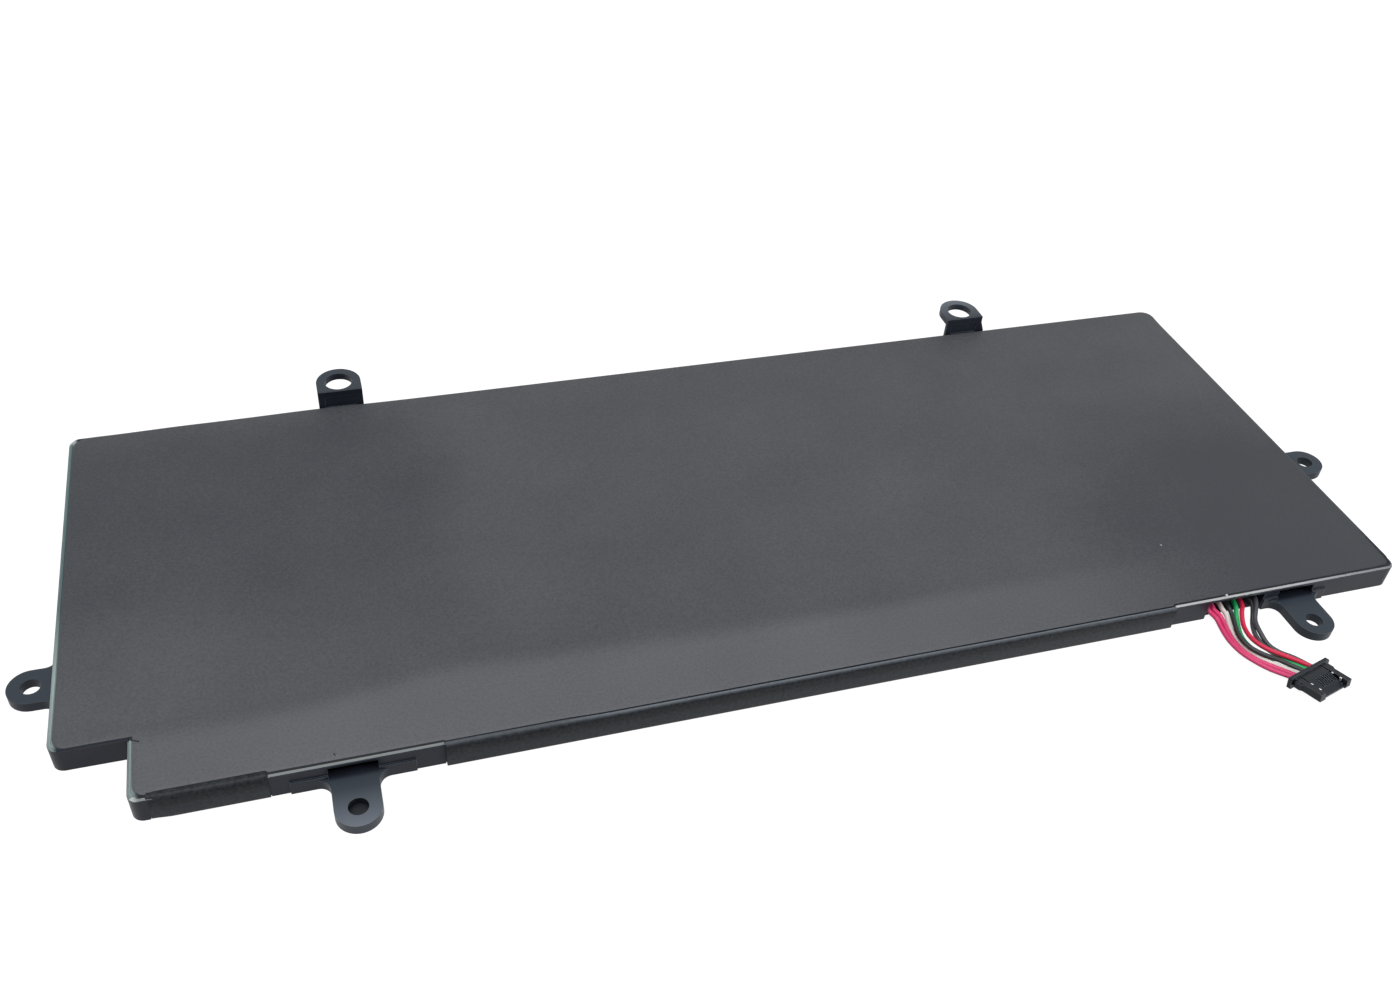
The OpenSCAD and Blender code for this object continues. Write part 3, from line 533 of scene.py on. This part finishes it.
def grain_and_blotch(tree, grain_mm, blotch_mm):
    """Fine and broad noise of those sizes, in the object's own space."""
    place = add(tree, "ShaderNodeTexCoord").outputs["Object"]
    grain = add(tree, "ShaderNodeTexNoise", {"Vector": place, "Scale": 1 / (grain_mm * MM),
                                             "Detail": 2.0, "Roughness": 0.6})
    blotch = add(tree, "ShaderNodeTexNoise", {"Vector": place, "Scale": 1 / (blotch_mm * MM),
                                              "Detail": 3.0, "Roughness": 0.55})
    return grain, blotch


def set_gloss_and_grain(tree, shader, blotch, grain, rough, spread, bump_mm, edge_mm):
    """Roughness that varies in blotches, and a grain that stands up over softened edges."""
    gloss = add(tree, "ShaderNodeMapRange", {"Value": blotch, "From Min": 0.3, "From Max": 0.7,
                                             "To Min": rough - spread, "To Max": rough + spread})
    soft = add(tree, "ShaderNodeBevel", {"Radius": edge_mm * MM}, samples=4)
    bump = add(tree, "ShaderNodeBump", {"Height": grain, "Strength": 1.0,
                                        "Distance": bump_mm * MM, "Normal": soft})
    join(tree, shader, {"Roughness": gloss, "Normal": bump})


def edge_wear_and_highlight(tree, colour, pale, radius_mm):
    """The colour, with a paler line along the sharp edges: rubbed by handling, and a painted
    highlight where they catch the light.
    """
    soft = add(tree, "ShaderNodeBevel", {"Radius": radius_mm * MM}, samples=4)
    true = add(tree, "ShaderNodeNewGeometry")
    agree = add(tree, "ShaderNodeVectorMath", {0: soft, 1: true.outputs["Normal"]},
                operation="DOT_PRODUCT")
    edge = add(tree, "ShaderNodeMapRange", {"Value": agree, "From Min": 0.98, "From Max": 0.8})
    return add(tree, "ShaderNodeMix", {"Factor": edge, "A": colour, "B": linear(pale)},
               data_type="RGBA")


def two_tones(tree, grain, blotch, dark, pale):
    """A colour that wanders between two close tones, in blotches and in the grain."""
    wander = add(tree, "ShaderNodeMix", {"Factor": 0.45, "A": blotch, "B": grain},
                 data_type="FLOAT")
    return add(tree, "ShaderNodeValToRGB", {"Fac": wander}, ((0.36, dark), (0.64, pale)))


def grained(name, dark, pale, grain_mm, blotch_mm, bump_mm, rough, ior=1.5, specular=0.35,
            metallic=0.0):
    """Plain moulded, drawn or printed stuff: two close tones, a fine grain that stands up a little
    and softened edges. Real grain here is under 0.1 mm, and is drawn coarser so that it shows."""
    material, tree, shader = new_material(name, ior, specular, metallic)
    grain, blotch = grain_and_blotch(tree, grain_mm, blotch_mm)
    join(tree, shader, {"Base Color": two_tones(tree, grain, blotch, dark, pale)})
    set_gloss_and_grain(tree, shader, blotch, grain, rough, 0.08, bump_mm, 0.12)
    return material


def moulded_nylon():
    """Moulded black nylon of the plug's housing: a low gloss, crisp edges with a paler line that is
    partly from handling and partly painted highlight, and painted shade that turns it black in its
    narrow slots."""
    material, tree, shader = new_material("moulded_nylon", 1.53, 0.18)
    grain, blotch = grain_and_blotch(tree, 0.3, 3)
    # Painted shade: darker where little light reaches, black in the slots
    open_to_light = add(tree, "ShaderNodeAmbientOcclusion", {"Distance": 0.9 * MM}, samples=8)
    tone = add(tree, "ShaderNodeValToRGB", {"Fac": open_to_light.outputs["AO"]},
               ((0.45, "#020203"), (0.75, "#1c2026"), (1.0, "#23272d")))
    join(tree, shader, {"Base Color": edge_wear_and_highlight(tree, tone, "#7a828c", 0.14)})
    set_gloss_and_grain(tree, shader, blotch, grain, 0.34, 0.06, 0.01, 0.1)
    return material


def formed_bronze():
    """Formed and tinned bronze of the contacts: bright and a little uneven where it is open to the
    light, and turned black by painted shade down in the plug's slots."""
    material, tree, shader = new_material("tinned_bronze", 1.5, 0.35, 1.0)
    grain, blotch = grain_and_blotch(tree, 0.3, 2)
    # Painted shade: near black where little light reaches
    open_to_light = add(tree, "ShaderNodeAmbientOcclusion", {"Distance": 0.5 * MM}, samples=8)
    tone = add(tree, "ShaderNodeValToRGB", {"Fac": open_to_light.outputs["AO"]},
               ((0.5, "#060607"), (0.8, "#f2f2f0")))
    join(tree, shader, {"Base Color": tone})
    set_gloss_and_grain(tree, shader, blotch, grain, 0.22, 0.08, 0.005, 0.12)
    return material


def matt_pet_film():
    """Calendered matt black PET film: a soft sheen, a fine leathery grain drawn at 0.55 mm so that
    it shows, and a paler painted sheen over the board and painted shade towards the right end, kept
    in the mesh."""
    material, tree, shader = new_material("matt_pet_film", 1.58, 0.24)
    grain, cloud = grain_and_blotch(tree, 0.55, 26)
    painted_light = add(tree, "ShaderNodeAttribute", attribute_name="tone_and_painted_light", attribute_type="GEOMETRY")
    clouded = add(tree, "ShaderNodeMapRange", {"Value": cloud, "From Min": 0.25,
                                               "From Max": 0.75, "To Min": 0.24, "To Max": 0.4})
    speckled = add(tree, "ShaderNodeMapRange", {"Value": grain, "From Min": 0.25,
                                                "From Max": 0.75, "To Min": -0.2, "To Max": 0.2})
    uneven = add(tree, "ShaderNodeMath", {0: clouded, 1: speckled}, operation="ADD")
    tone = add(tree, "ShaderNodeMath", {0: painted_light.outputs["Fac"], 1: 0.42, 2: uneven},
               operation="MULTIPLY_ADD")
    colour = add(tree, "ShaderNodeValToRGB", {"Fac": tone}, ((0, "#373a3f"), (1, "#67696d")))
    gloss = add(tree, "ShaderNodeMapRange", {"Value": grain, "From Min": 0.3, "From Max": 0.7,
                                             "To Min": 0.5, "To Max": 0.62})
    bump = add(tree, "ShaderNodeBump", {"Height": grain, "Strength": 0.5,
                                        "Distance": 0.03 * MM})
    join(tree, shader, {"Base Color": colour, "Roughness": gloss, "Normal": bump})
    return material


def fold_lit_pet_film():
    """The same film drawn tight round the front edge: glossier and darker, its grain pulled flat,
    with a painted highlight along the top of its fold and a painted reflection of the floor low on
    its wall."""
    material, tree, shader = new_material("fold_lit_pet_film", 1.58, 0.095)
    grain, blotch = grain_and_blotch(tree, 0.8, 30)
    highlit = add(tree, "ShaderNodeAttribute", attribute_name="tone_and_painted_light", attribute_type="GEOMETRY")
    speckled = add(tree, "ShaderNodeMapRange", {"Value": grain, "From Min": 0.25,
                                                "From Max": 0.75, "To Min": 0.0, "To Max": 0.15})
    tone = add(tree, "ShaderNodeMath", {0: highlit.outputs["Fac"], 1: speckled}, operation="ADD")
    colour = add(tree, "ShaderNodeValToRGB", {"Fac": tone}, ((0, "#0a0d12"), (1, "#787f87")))
    join(tree, shader, {"Base Color": colour})
    set_gloss_and_grain(tree, shader, blotch, grain, 0.36, 0.05, 0.015, 0.12)
    return material


def painted_light_on_ears(tree, colour, x, y, up):
    """The frame's colour, with painted light that makes the upward faces of the thin ears bluer and
    paler, a paler line along its edges, and painted light that makes the upward faces greyer still
    towards the tips of the ears at two opposite corners."""
    upward = add(tree, "ShaderNodeMapRange", {"Value": up, "From Min": 0.2, "From Max": 0.9,
                                              "To Min": 0.35})
    aside = add(tree, "ShaderNodeMath", {0: x}, operation="ABSOLUTE")
    aside = add(tree, "ShaderNodeMath", {0: aside, 1: RIGHT - BACK}, operation="SUBTRACT")
    beyond = add(tree, "ShaderNodeMath", {0: y}, operation="ABSOLUTE")
    outward = add(tree, "ShaderNodeMath", {0: aside, 1: beyond}, operation="MAXIMUM")
    ear = add(tree, "ShaderNodeMapRange", {"Value": outward, "From Min": BACK + 0.2 * MM,
                                           "From Max": BACK + 1 * MM})
    ear = add(tree, "ShaderNodeMath", {0: ear, 1: upward}, operation="MULTIPLY")
    # Painted light: the ears' upward faces bluer and paler
    lit_ear_tops = add(tree, "ShaderNodeMix", {"Factor": ear, "A": colour, "B": linear("#343c45")},
                data_type="RGBA")
    highlit = edge_wear_and_highlight(tree, lit_ear_tops, "#5a636e", 0.2)

    # Painted light: greyer towards the tips of the ears at two opposite corners, on their upward
    # faces
    # Both X and Y are negative at one of the two corners, and both positive at the other
    corner = add(tree, "ShaderNodeMath", {0: x, 1: y}, operation="MULTIPLY")
    lit_corners = add(tree, "ShaderNodeMapRange", {"Value": corner, "From Min": 0.0,
                                               "From Max": 0.0065})
    ahead = add(tree, "ShaderNodeMath", {0: y, 1: -1.0, 2: -2.5 * MM},
                operation="MULTIPLY_ADD")
    outward = add(tree, "ShaderNodeMath", {0: y, 1: ahead}, operation="MAXIMUM")
    tip = add(tree, "ShaderNodeMapRange", {"Value": outward, "From Min": BACK + 1 * MM,
                                           "From Max": BACK + 13 * MM})
    for share in (tip, upward):
        lit_corners = add(tree, "ShaderNodeMath", {0: lit_corners, 1: share}, operation="MULTIPLY")
    return add(tree, "ShaderNodeMix", {"Factor": lit_corners, "A": highlit, "B": linear("#7b828d")},
               data_type="RGBA")


def shade_in_blind_hole(tree, colour, place, z):
    """The colour, darkened with painted shade down in the front left ear's blind hole."""
    flat = add(tree, "ShaderNodeVectorMath", {0: place, 1: (1, 1, 0)}, operation="MULTIPLY")
    apart = add(tree, "ShaderNodeVectorMath", {0: flat, 1: BLIND_HOLE}, operation="DISTANCE")
    inside = add(tree, "ShaderNodeMath", {0: apart, 1: LOW_EAR_HOLE * 1.01 * MM},
                 operation="LESS_THAN")
    sunk = add(tree, "ShaderNodeMath", {0: z, 1: (LOW_EAR_TOP - 0.1) * MM},
               operation="LESS_THAN")
    shaded = add(tree, "ShaderNodeMath", {0: inside, 1: sunk}, operation="MULTIPLY")
    return add(tree, "ShaderNodeMix", {"Factor": shaded, "A": colour, "B": linear("#20242a")},
               data_type="RGBA")


def rim_highlight_and_shade(tree, colour, x, y, z, up):
    """The colour, with a painted highlight on the front rim's bevel, painted shade on the rim's
    flat in the gap along the film's front edge, and a pale teal painted highlight on the rims at
    the left and in the notch, near white at the front and with a painted glint by the back left
    corner."""
    front = add(tree, "ShaderNodeMath", {0: y, 1: FRONT, 2: 1.1 * MM}, operation="COMPARE")
    bevel_z = add(tree, "ShaderNodeMath", {0: z, 1: RIM_TOP - 0.17 * MM, 2: 0.19 * MM},
                  operation="COMPARE")
    slanting = add(tree, "ShaderNodeMath", {0: up, 1: 0.65, 2: 0.25}, operation="COMPARE")
    top_z = add(tree, "ShaderNodeMath", {0: z, 1: RIM_TOP, 2: 0.02 * MM}, operation="COMPARE")
    level = add(tree, "ShaderNodeMath", {0: up, 1: 1.0, 2: 0.05}, operation="COMPARE")
    lengthways = add(tree, "ShaderNodeMapRange", {"Value": x, "From Min": LEFT,
                                                  "From Max": RIGHT})
    # Painted highlight on the front bevel, brighter towards the right
    bright = add(tree, "ShaderNodeValToRGB", {"Fac": lengthways},
                 ((0.05, "#8f9494"), (0.24, "#8a8f90"), (0.8, "#b8babc"), (0.9, "#aeb0b3"),
                  (0.98, "#7d8084")))
    # Painted shade on the rim's flat, in the gap by the film's front edge
    gap_shade = add(tree, "ShaderNodeValToRGB", {"Fac": lengthways},
                ((0.2, "#1a1c1f"), (0.8, "#050607")))

    left = add(tree, "ShaderNodeMapRange", {"Value": x, "From Min": LEFT + 0.9 * MM,
                                            "From Max": LEFT + 2.1 * MM, "To Min": 1.0,
                                            "To Max": 0.0}, interpolation_type="SMOOTHSTEP")
    notch = add(tree, "ShaderNodeMapRange", {"Value": x, "From Min": LEFT + 15.3 * MM,
                                             "From Max": LEFT + 16.8 * MM, "To Min": 1.0,
                                             "To Max": 0.0}, interpolation_type="SMOOTHSTEP")
    beside = add(tree, "ShaderNodeMath", {0: y, 1: FRONT + 7 * MM, 2: 8 * MM},
                 operation="COMPARE")
    notch = add(tree, "ShaderNodeMath", {0: beside, 1: notch}, operation="MULTIPLY")
    left = add(tree, "ShaderNodeMath", {0: left, 1: notch}, operation="MAXIMUM")
    rim_z = add(tree, "ShaderNodeMath", {0: z, 1: RIM_TOP - 0.2 * MM, 2: 0.25 * MM},
                operation="COMPARE")
    widthways = add(tree, "ShaderNodeMapRange", {"Value": y, "From Min": FRONT,
                                                 "From Max": BACK})
    # Pale teal painted highlight on the rims at the left and in the notch, with a painted glint by
    # the back left corner
    teal = add(tree, "ShaderNodeValToRGB", {"Fac": widthways},
               ((0.1, "#8a9a9a"), (0.3, "#a3b6b3"), (0.48, "#57696e"), (0.9, "#5d7776"),
                (0.975, "#5d7776"), (0.99, "#e8eeee")))
    # Near white painted glint at the front of the notch
    pale = add(tree, "ShaderNodeMix", {"Factor": front, "A": teal, "B": linear("#d9dfdf")},
               data_type="RGBA")

    for shares, tone in (((bevel_z, slanting, front), bright), ((top_z, level, front), gap_shade),
                         ((left, rim_z), pale)):
        here = shares[0]
        for share in shares[1:]:
            here = add(tree, "ShaderNodeMath", {0: here, 1: share}, operation="MULTIPLY")
        colour = add(tree, "ShaderNodeMix", {"Factor": here, "A": colour, "B": tone},
                     data_type="RGBA")
    return colour


def moulded_frame():
    """Moulded black ABS: a fine spark-eroded texture that looks dark blue-grey and nearly matt,
    with painted light on its ears, a paler line along its edges that is partly from handling and
    partly painted highlight, painted highlights on its rims, and painted shade in the gap by the
    film and in the blind hole."""
    material, tree, shader = new_material("moulded_abs", 1.54, 0.177)
    grain, blotch = grain_and_blotch(tree, 0.35, 9)
    place = add(tree, "ShaderNodeTexCoord")
    at = add(tree, "ShaderNodeSeparateXYZ", {"Vector": place.outputs["Object"]})
    turned = add(tree, "ShaderNodeSeparateXYZ", {"Vector": place.outputs["Normal"]})
    x, y, z, up = *(at.outputs[axis] for axis in "XYZ"), turned.outputs["Z"]
    colour = two_tones(tree, grain, blotch, "#191d25", "#232833")
    colour = painted_light_on_ears(tree, colour, x, y, up)
    colour = shade_in_blind_hole(tree, colour, place.outputs["Object"], z)
    join(tree, shader, {"Base Color": rim_highlight_and_shade(tree, colour, x, y, z, up)})
    set_gloss_and_grain(tree, shader, blotch, grain, 0.42, 0.08, 0.01, 0.12)
    return material


FINISHES = {
    "pack_film": matt_pet_film(),
    "edge_film": fold_lit_pet_film(),
    "frame_plastic": moulded_frame(),
    "connector_plastic": moulded_nylon(),
    "contact_metal": formed_bronze(),
    # Foamed polyurethane: dead black, and rough with open cells
    "foam": grained("open_cell_foam", "#141516", "#222325", 0.4, 4, 0.2, 0.95),
    # Rolled aluminium under clear nylon: a silvery sheen in broad soft patches
    "pouch_foil": grained("laminated_pouch_foil", "#9fa3a7", "#c2c5c8", 0.8, 25, 0.02, 0.38,
                          metallic=0.8),
    # Rolled strip: pale and cool, half bright
    "aluminium_tab": grained("rolled_aluminium", "#b9bcbf", "#d3d5d7", 0.3, 5, 0.01, 0.35,
                             metallic=1.0),
    # Rolled strip: warmer and darker than aluminium, half bright
    "nickel_tab": grained("nickel_strip", "#98917f", "#b4ad9b", 0.3, 5, 0.01, 0.35, metallic=1.0),
    # Coated acrylic: milky cream, dull and a little lumpy
    "adhesive": grained("acrylic_adhesive", "#cfcab6", "#ded9c8", 0.6, 8, 0.03, 0.6, ior=1.47),
    # Printed green mask over woven glass board: deep green with a smooth gloss
    "circuit_board": grained("solder_mask_board", "#17492c", "#236340", 0.4, 6, 0.01, 0.3,
                             ior=1.55),
    # Cast polyimide: glossy amber
    "polyimide_tape": grained("polyimide_tape", "#b97b14", "#d39226", 0.5, 6, 0.01, 0.2,
                              ior=1.7),
    # Moulded epoxy: charcoal and matt
    "chip_epoxy": grained("chip_epoxy", "#141517", "#202225", 0.2, 2, 0.01, 0.5, ior=1.55),
    # Pressed and fired: tan, dry and even
    "ceramic": grained("fired_ceramic", "#957660", "#b08f76", 0.2, 2, 0.01, 0.5, ior=1.76),
    # Melted tin: bright silver with a smooth uneven skin
    "solder": grained("tin_solder", "#b2b5b8", "#cfd1d3", 0.3, 1.5, 0.02, 0.28, metallic=1.0),
}
# Extruded PVC insulation: an even, strong colour with a slight gloss along each wire
PVC = {"pink": ("#e23a74", "#ee5288"), "white": ("#dedad2", "#eeebe4"),
       "black": ("#25282a", "#33373a"), "green": ("#14a056", "#2cb86c"),
       "red": ("#d81c40", "#e8325c"), "grey": ("#3a3d42", "#4c4f54")}
for colour, (dark, pale) in PVC.items():
    FINISHES["wire_" + colour] = grained("pvc_" + colour, dark, pale, 0.3, 6, 0.01, 0.36,
                                         ior=1.53, specular=0.32)
# A pressed wisp of dust, a torn flake of plastic, and a dark scratch colour that also paints the
# shade of a small fold: dry, and without any gloss
pale_lint = grained("pale_lint", "#9a9c9e", "#c4c6c8", 0.2, 1, 0.01, 0.8)
white_burr = grained("white_burr", "#e4e6e6", "#f4f5f5", 0.2, 1, 0.01, 0.6)
dark_scuff_and_shade = grained("dark_scuff_and_shade", "#0e0f10", "#18191b", 0.2, 1, 0.01, 0.6)


def finish_with(thing, material):
    """Gives a piece or a solid one finish all over."""
    thing.data.materials.clear()
    thing.data.materials.append(material)


for part in frame["record"]["subparts"]:
    finish_with(frame["nodes"][part["node"]], FINISHES[part["material_slot"]])
for colour, wire in lead.items():
    finish_with(wire, FINISHES["wire_" + colour.split("_")[0]])

sheet = film_sheet()
finish_with(sheet, FINISHES["pack_film"])
long_wrap = wrap_skin("long_wrap_skin", wrap_low, wrap_high, back=(0.4 * MM, 0.05 * MM),
                      lip=(1.1 * MM, 0.9 * MM), wander=0.16 * MM, lip_shine=(0.45, 0.9),
                      node="long_edge_wrap", dents=((wrap_low.x / MM + 5, 2.5, 0.12),))
short_wrap = wrap_skin("short_wrap_skin", flap_low, flap_high, back=(1.5 * MM, 1.5 * MM),
                       lip=(1.1 * MM, 1.1 * MM), wander=0.06 * MM, lip_shine=(0.04, 0.02),
                       node="short_edge_wrap", taper=4 * MM)
for wrap in (long_wrap, short_wrap):
    finish_with(wrap, FINISHES["edge_film"])


# ---- small marks, each at its image point --------------------------------------------------------

SIGHT_START, SIGHT_STEP, SIGHT_STEPS = 0.2, 0.002, 150   # metres along a sight line that misses
FLAKE_UNEVEN, FLAKE_LUMPS = 0.35, 3.1       # how lumpy a flake is, and how many lumps it has
FLAKE_SHUFFLE = 900     # so that no two flakes are alike


def finished(things):
    """Vertices and a search tree of the pieces as they end up, modifiers included."""
    graph = bpy.context.evaluated_depsgraph_get()
    verts, faces = [], []
    for thing in things:
        made = thing.evaluated_get(graph)
        mesh = made.to_mesh()
        start = len(verts)
        verts += [made.matrix_world @ v.co for v in mesh.vertices]
        faces += [[start + i for i in p.vertices] for p in mesh.polygons]
        made.to_mesh_clear()
    return verts, BVHTree.FromPolygons(verts, faces)


def place_on(tree, point):
    """Where the sight line through an image point meets the carrier, or the place nearest it."""
    ray = sight(*point)
    hit, normal, _, _ = tree.ray_cast(CAMERA_AT, ray)
    if hit is None:
        line = [CAMERA_AT + ray * (SIGHT_START + SIGHT_STEP * i) for i in range(SIGHT_STEPS)]
        hit, normal, _, _ = min((tree.find_nearest(p) for p in line), key=lambda near: near[3])
    return hit, normal


def mark(name, tree, size, turn, material, slot_name):
    """A speck or scuff: a flat uneven flake of that length, width and height in mm, half sunk in
    what carries it and turned in its plane by so many degrees."""
    spot, normal = place_on(tree, POINTS[name])
    flake = bmesh.new()
    bmesh.ops.create_icosphere(flake, subdivisions=2, radius=0.5)
    lie = normal.to_track_quat("Z", "X").to_matrix() @ Matrix.Rotation(math.radians(turn), 3, "Z")
    for vert in flake.verts:
        uneven = 1 + FLAKE_UNEVEN * noise.noise(vert.co * FLAKE_LUMPS
                                                + Vector((spot.x, spot.y, 0)) * FLAKE_SHUFFLE)
        shape = Vector([c * s * uneven for c, s in zip(vert.co, size)])
        vert.co = spot + lie @ shape * MM
    for face in flake.faces:
        face.smooth = True
    piece = piece_from(name, flake, slot_name)
    finish_with(piece, material)
    return piece


film_verts, film_tree = finished([sheet])
frame_verts, frame_tree = finished([frame["nodes"]["frame"]])
# What carries each mark, its length, width and height, its turn in degrees and its finish
MARKS = {
    # The notch's crease is a dark flake that paints the shade of its small fold
    "notch_crease": (film_tree, (2.8, 0.3, 0.12), -35, dark_scuff_and_shade, "pack_film"),
    "film_nick": (film_tree, (0.9, 0.25, 0.1), 20, dark_scuff_and_shade, "pack_film"),
    "pale_speck": (film_tree, (0.6, 0.4, 0.15), 40, pale_lint, "pack_film"),
    "dark_speck": (film_tree, (0.5, 0.4, 0.15), 0, dark_scuff_and_shade, "pack_film"),
    "rim_fleck": (frame_tree, (0.45, 0.7, 1.1), 10, white_burr, "frame_plastic"),
}
marks = {name: mark(name, *how) for name, how in MARKS.items()}


# ---- light, floor and background -----------------------------------------------------------------

WHITE_FLOOR = 0.93      # what the floor adds where it is seen itself, so that it shows white
SKY_LIGHT = 0.14
FLOOR_HALF = 3          # metres
FLOOR_Z = -0.02 * MM
# Each softbox: its place, what it is turned to, its side and its watts
SOFTBOXES = {
    "overhead": ((-0.15, -0.12, 0.9), (0, 0, 0), 0.8, 6.7),
    "right_front": ((0.42, -0.4, 0.16), (0.14, 0, 0), 0.2, 1.1),
    "front_fill": ((-0.15, -0.9, 0.35), (0, 0, 0), 0.6, 0.6),
}


def shows_white(tree):
    """1 for rays that see the background themselves: from the camera, a gloss or a clear part."""
    path = add(tree, "ShaderNodeLightPath")
    some = add(tree, "ShaderNodeMath", {0: path.outputs["Is Camera Ray"],
                                        1: path.outputs["Is Glossy Ray"]}, operation="MAXIMUM")
    return add(tree, "ShaderNodeMath", {0: some, 1: path.outputs["Is Transmission Ray"]},
               operation="MAXIMUM")


world = bpy.data.worlds.new("studio")
bpy.context.scene.world = world
world.use_nodes = True
tree = world.node_tree
glow = add(tree, "ShaderNodeMapRange", {"Value": shows_white(tree), "To Min": SKY_LIGHT,
                                        "To Max": 1.0})
join(tree, tree.nodes["Background"], {"Color": linear("#ffffff"), "Strength": glow})

floor_mesh = bmesh.new()
bmesh.ops.create_grid(floor_mesh, x_segments=1, y_segments=1, size=FLOOR_HALF)
for vert in floor_mesh.verts:
    vert.co.z = FLOOR_Z
floor_data = bpy.data.meshes.new("floor")
floor_mesh.to_mesh(floor_data)
floor_mesh.free()
floor = bpy.data.objects.new("floor", floor_data)
bpy.context.scene.collection.objects.link(floor)
floor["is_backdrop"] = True
# White studio paper: quite matt, and white to the eye wherever nothing shades it
paper = bpy.data.materials.new("white_paper")
paper.use_nodes = True
tree = paper.node_tree
tree.nodes.remove(tree.nodes["Principled BSDF"])
matt = add(tree, "ShaderNodeBsdfDiffuse", {"Color": linear("#808080")})
lit = add(tree, "ShaderNodeMath", {0: shows_white(tree), 1: WHITE_FLOOR}, operation="MULTIPLY")
lamp_white = add(tree, "ShaderNodeEmission", {"Color": linear("#ffffff"), "Strength": lit})
both = add(tree, "ShaderNodeAddShader", {0: matt, 1: lamp_white})
join(tree, tree.nodes["Material Output"], {"Surface": both})
floor_data.materials.append(paper)

for name, (at, aim, side, watts) in SOFTBOXES.items():
    lamp = bpy.data.lights.new(name, "AREA")
    lamp.shape = "SQUARE"
    lamp.size = side
    lamp.energy = watts
    softbox = bpy.data.objects.new(name, lamp)
    softbox.location = at
    softbox.rotation_euler = (Vector(aim) - Vector(at)).to_track_quat("-Z", "Y").to_euler()
    bpy.context.scene.collection.objects.link(softbox)

bpy.context.scene.view_settings.view_transform = "Standard"

# ---- how true the image points are ---------------------------------------------------------------

on_lead = set(lead.values()) | {frame["nodes"][name] for name in PLUG_NODES}
pack_verts, pack_tree = finished([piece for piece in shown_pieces() if piece not in on_lead])


def shows(vert):
    """Whether nothing hides a vertex from the camera."""
    ray = vert - CAMERA_AT
    _, _, _, reach = pack_tree.ray_cast(CAMERA_AT, ray.normalized())
    return reach is None or reach > ray.length - 0.05 * MM


def middle(verts):
    """Where the middle of the vertices that show is in the photograph's frame."""
    spots = [seen_at(v) for v in verts if shows(v)] or [seen_at(v) for v in verts]
    xs, ys = zip(*spots)
    return (min(xs) + max(xs)) / 2, (min(ys) + max(ys)) / 2


def nearest(verts, x, y):
    """The vertex that shows closest to a plan position."""
    return sorted(filter(shows, verts), key=lambda v: math.hypot(v.x - x, v.y - y))[:1]


def hole_edge(x, y, radius, top):
    """The upper edge of an ear's hole, from the frame's own vertices."""
    return [v for v in frame_verts if abs(v.z - top * MM) < 0.01 * MM
            and abs(math.hypot(v.x - LEFT - x * MM, v.y - FRONT - y * MM)
                    - radius * MM) < 0.05 * MM]


rim_verts = [v for v in frame_verts if v.z > RIM_TOP - 0.6 * MM]
lip_verts = [v for v in finished([long_wrap])[0] if v.z > RIM_TOP - 0.4 * MM]
where = {
    "back_left_corner": nearest(film_verts, LEFT, BACK),
    "back_right_corner": nearest(film_verts, RIGHT, BACK),
    "notch_front_corner": nearest(rim_verts, LEFT + 14.5 * MM, FRONT),
    "long_wrap_left_end": [v for v in lip_verts if v.x < wrap_low.x + 0.01 * MM],
    "long_wrap_right_end": [v for v in lip_verts if v.x > wrap_high.x - 0.01 * MM],
    **{name: hole_edge(*hole) for name, hole in HOLES.items()},
    **{name: finished([piece])[0] for name, piece in marks.items()},
}
across, down = zip(*(seen_at(v) for v in pack_verts if shows(v)))
for name, verts in where.items():
    if verts:
        x, y = middle(verts)
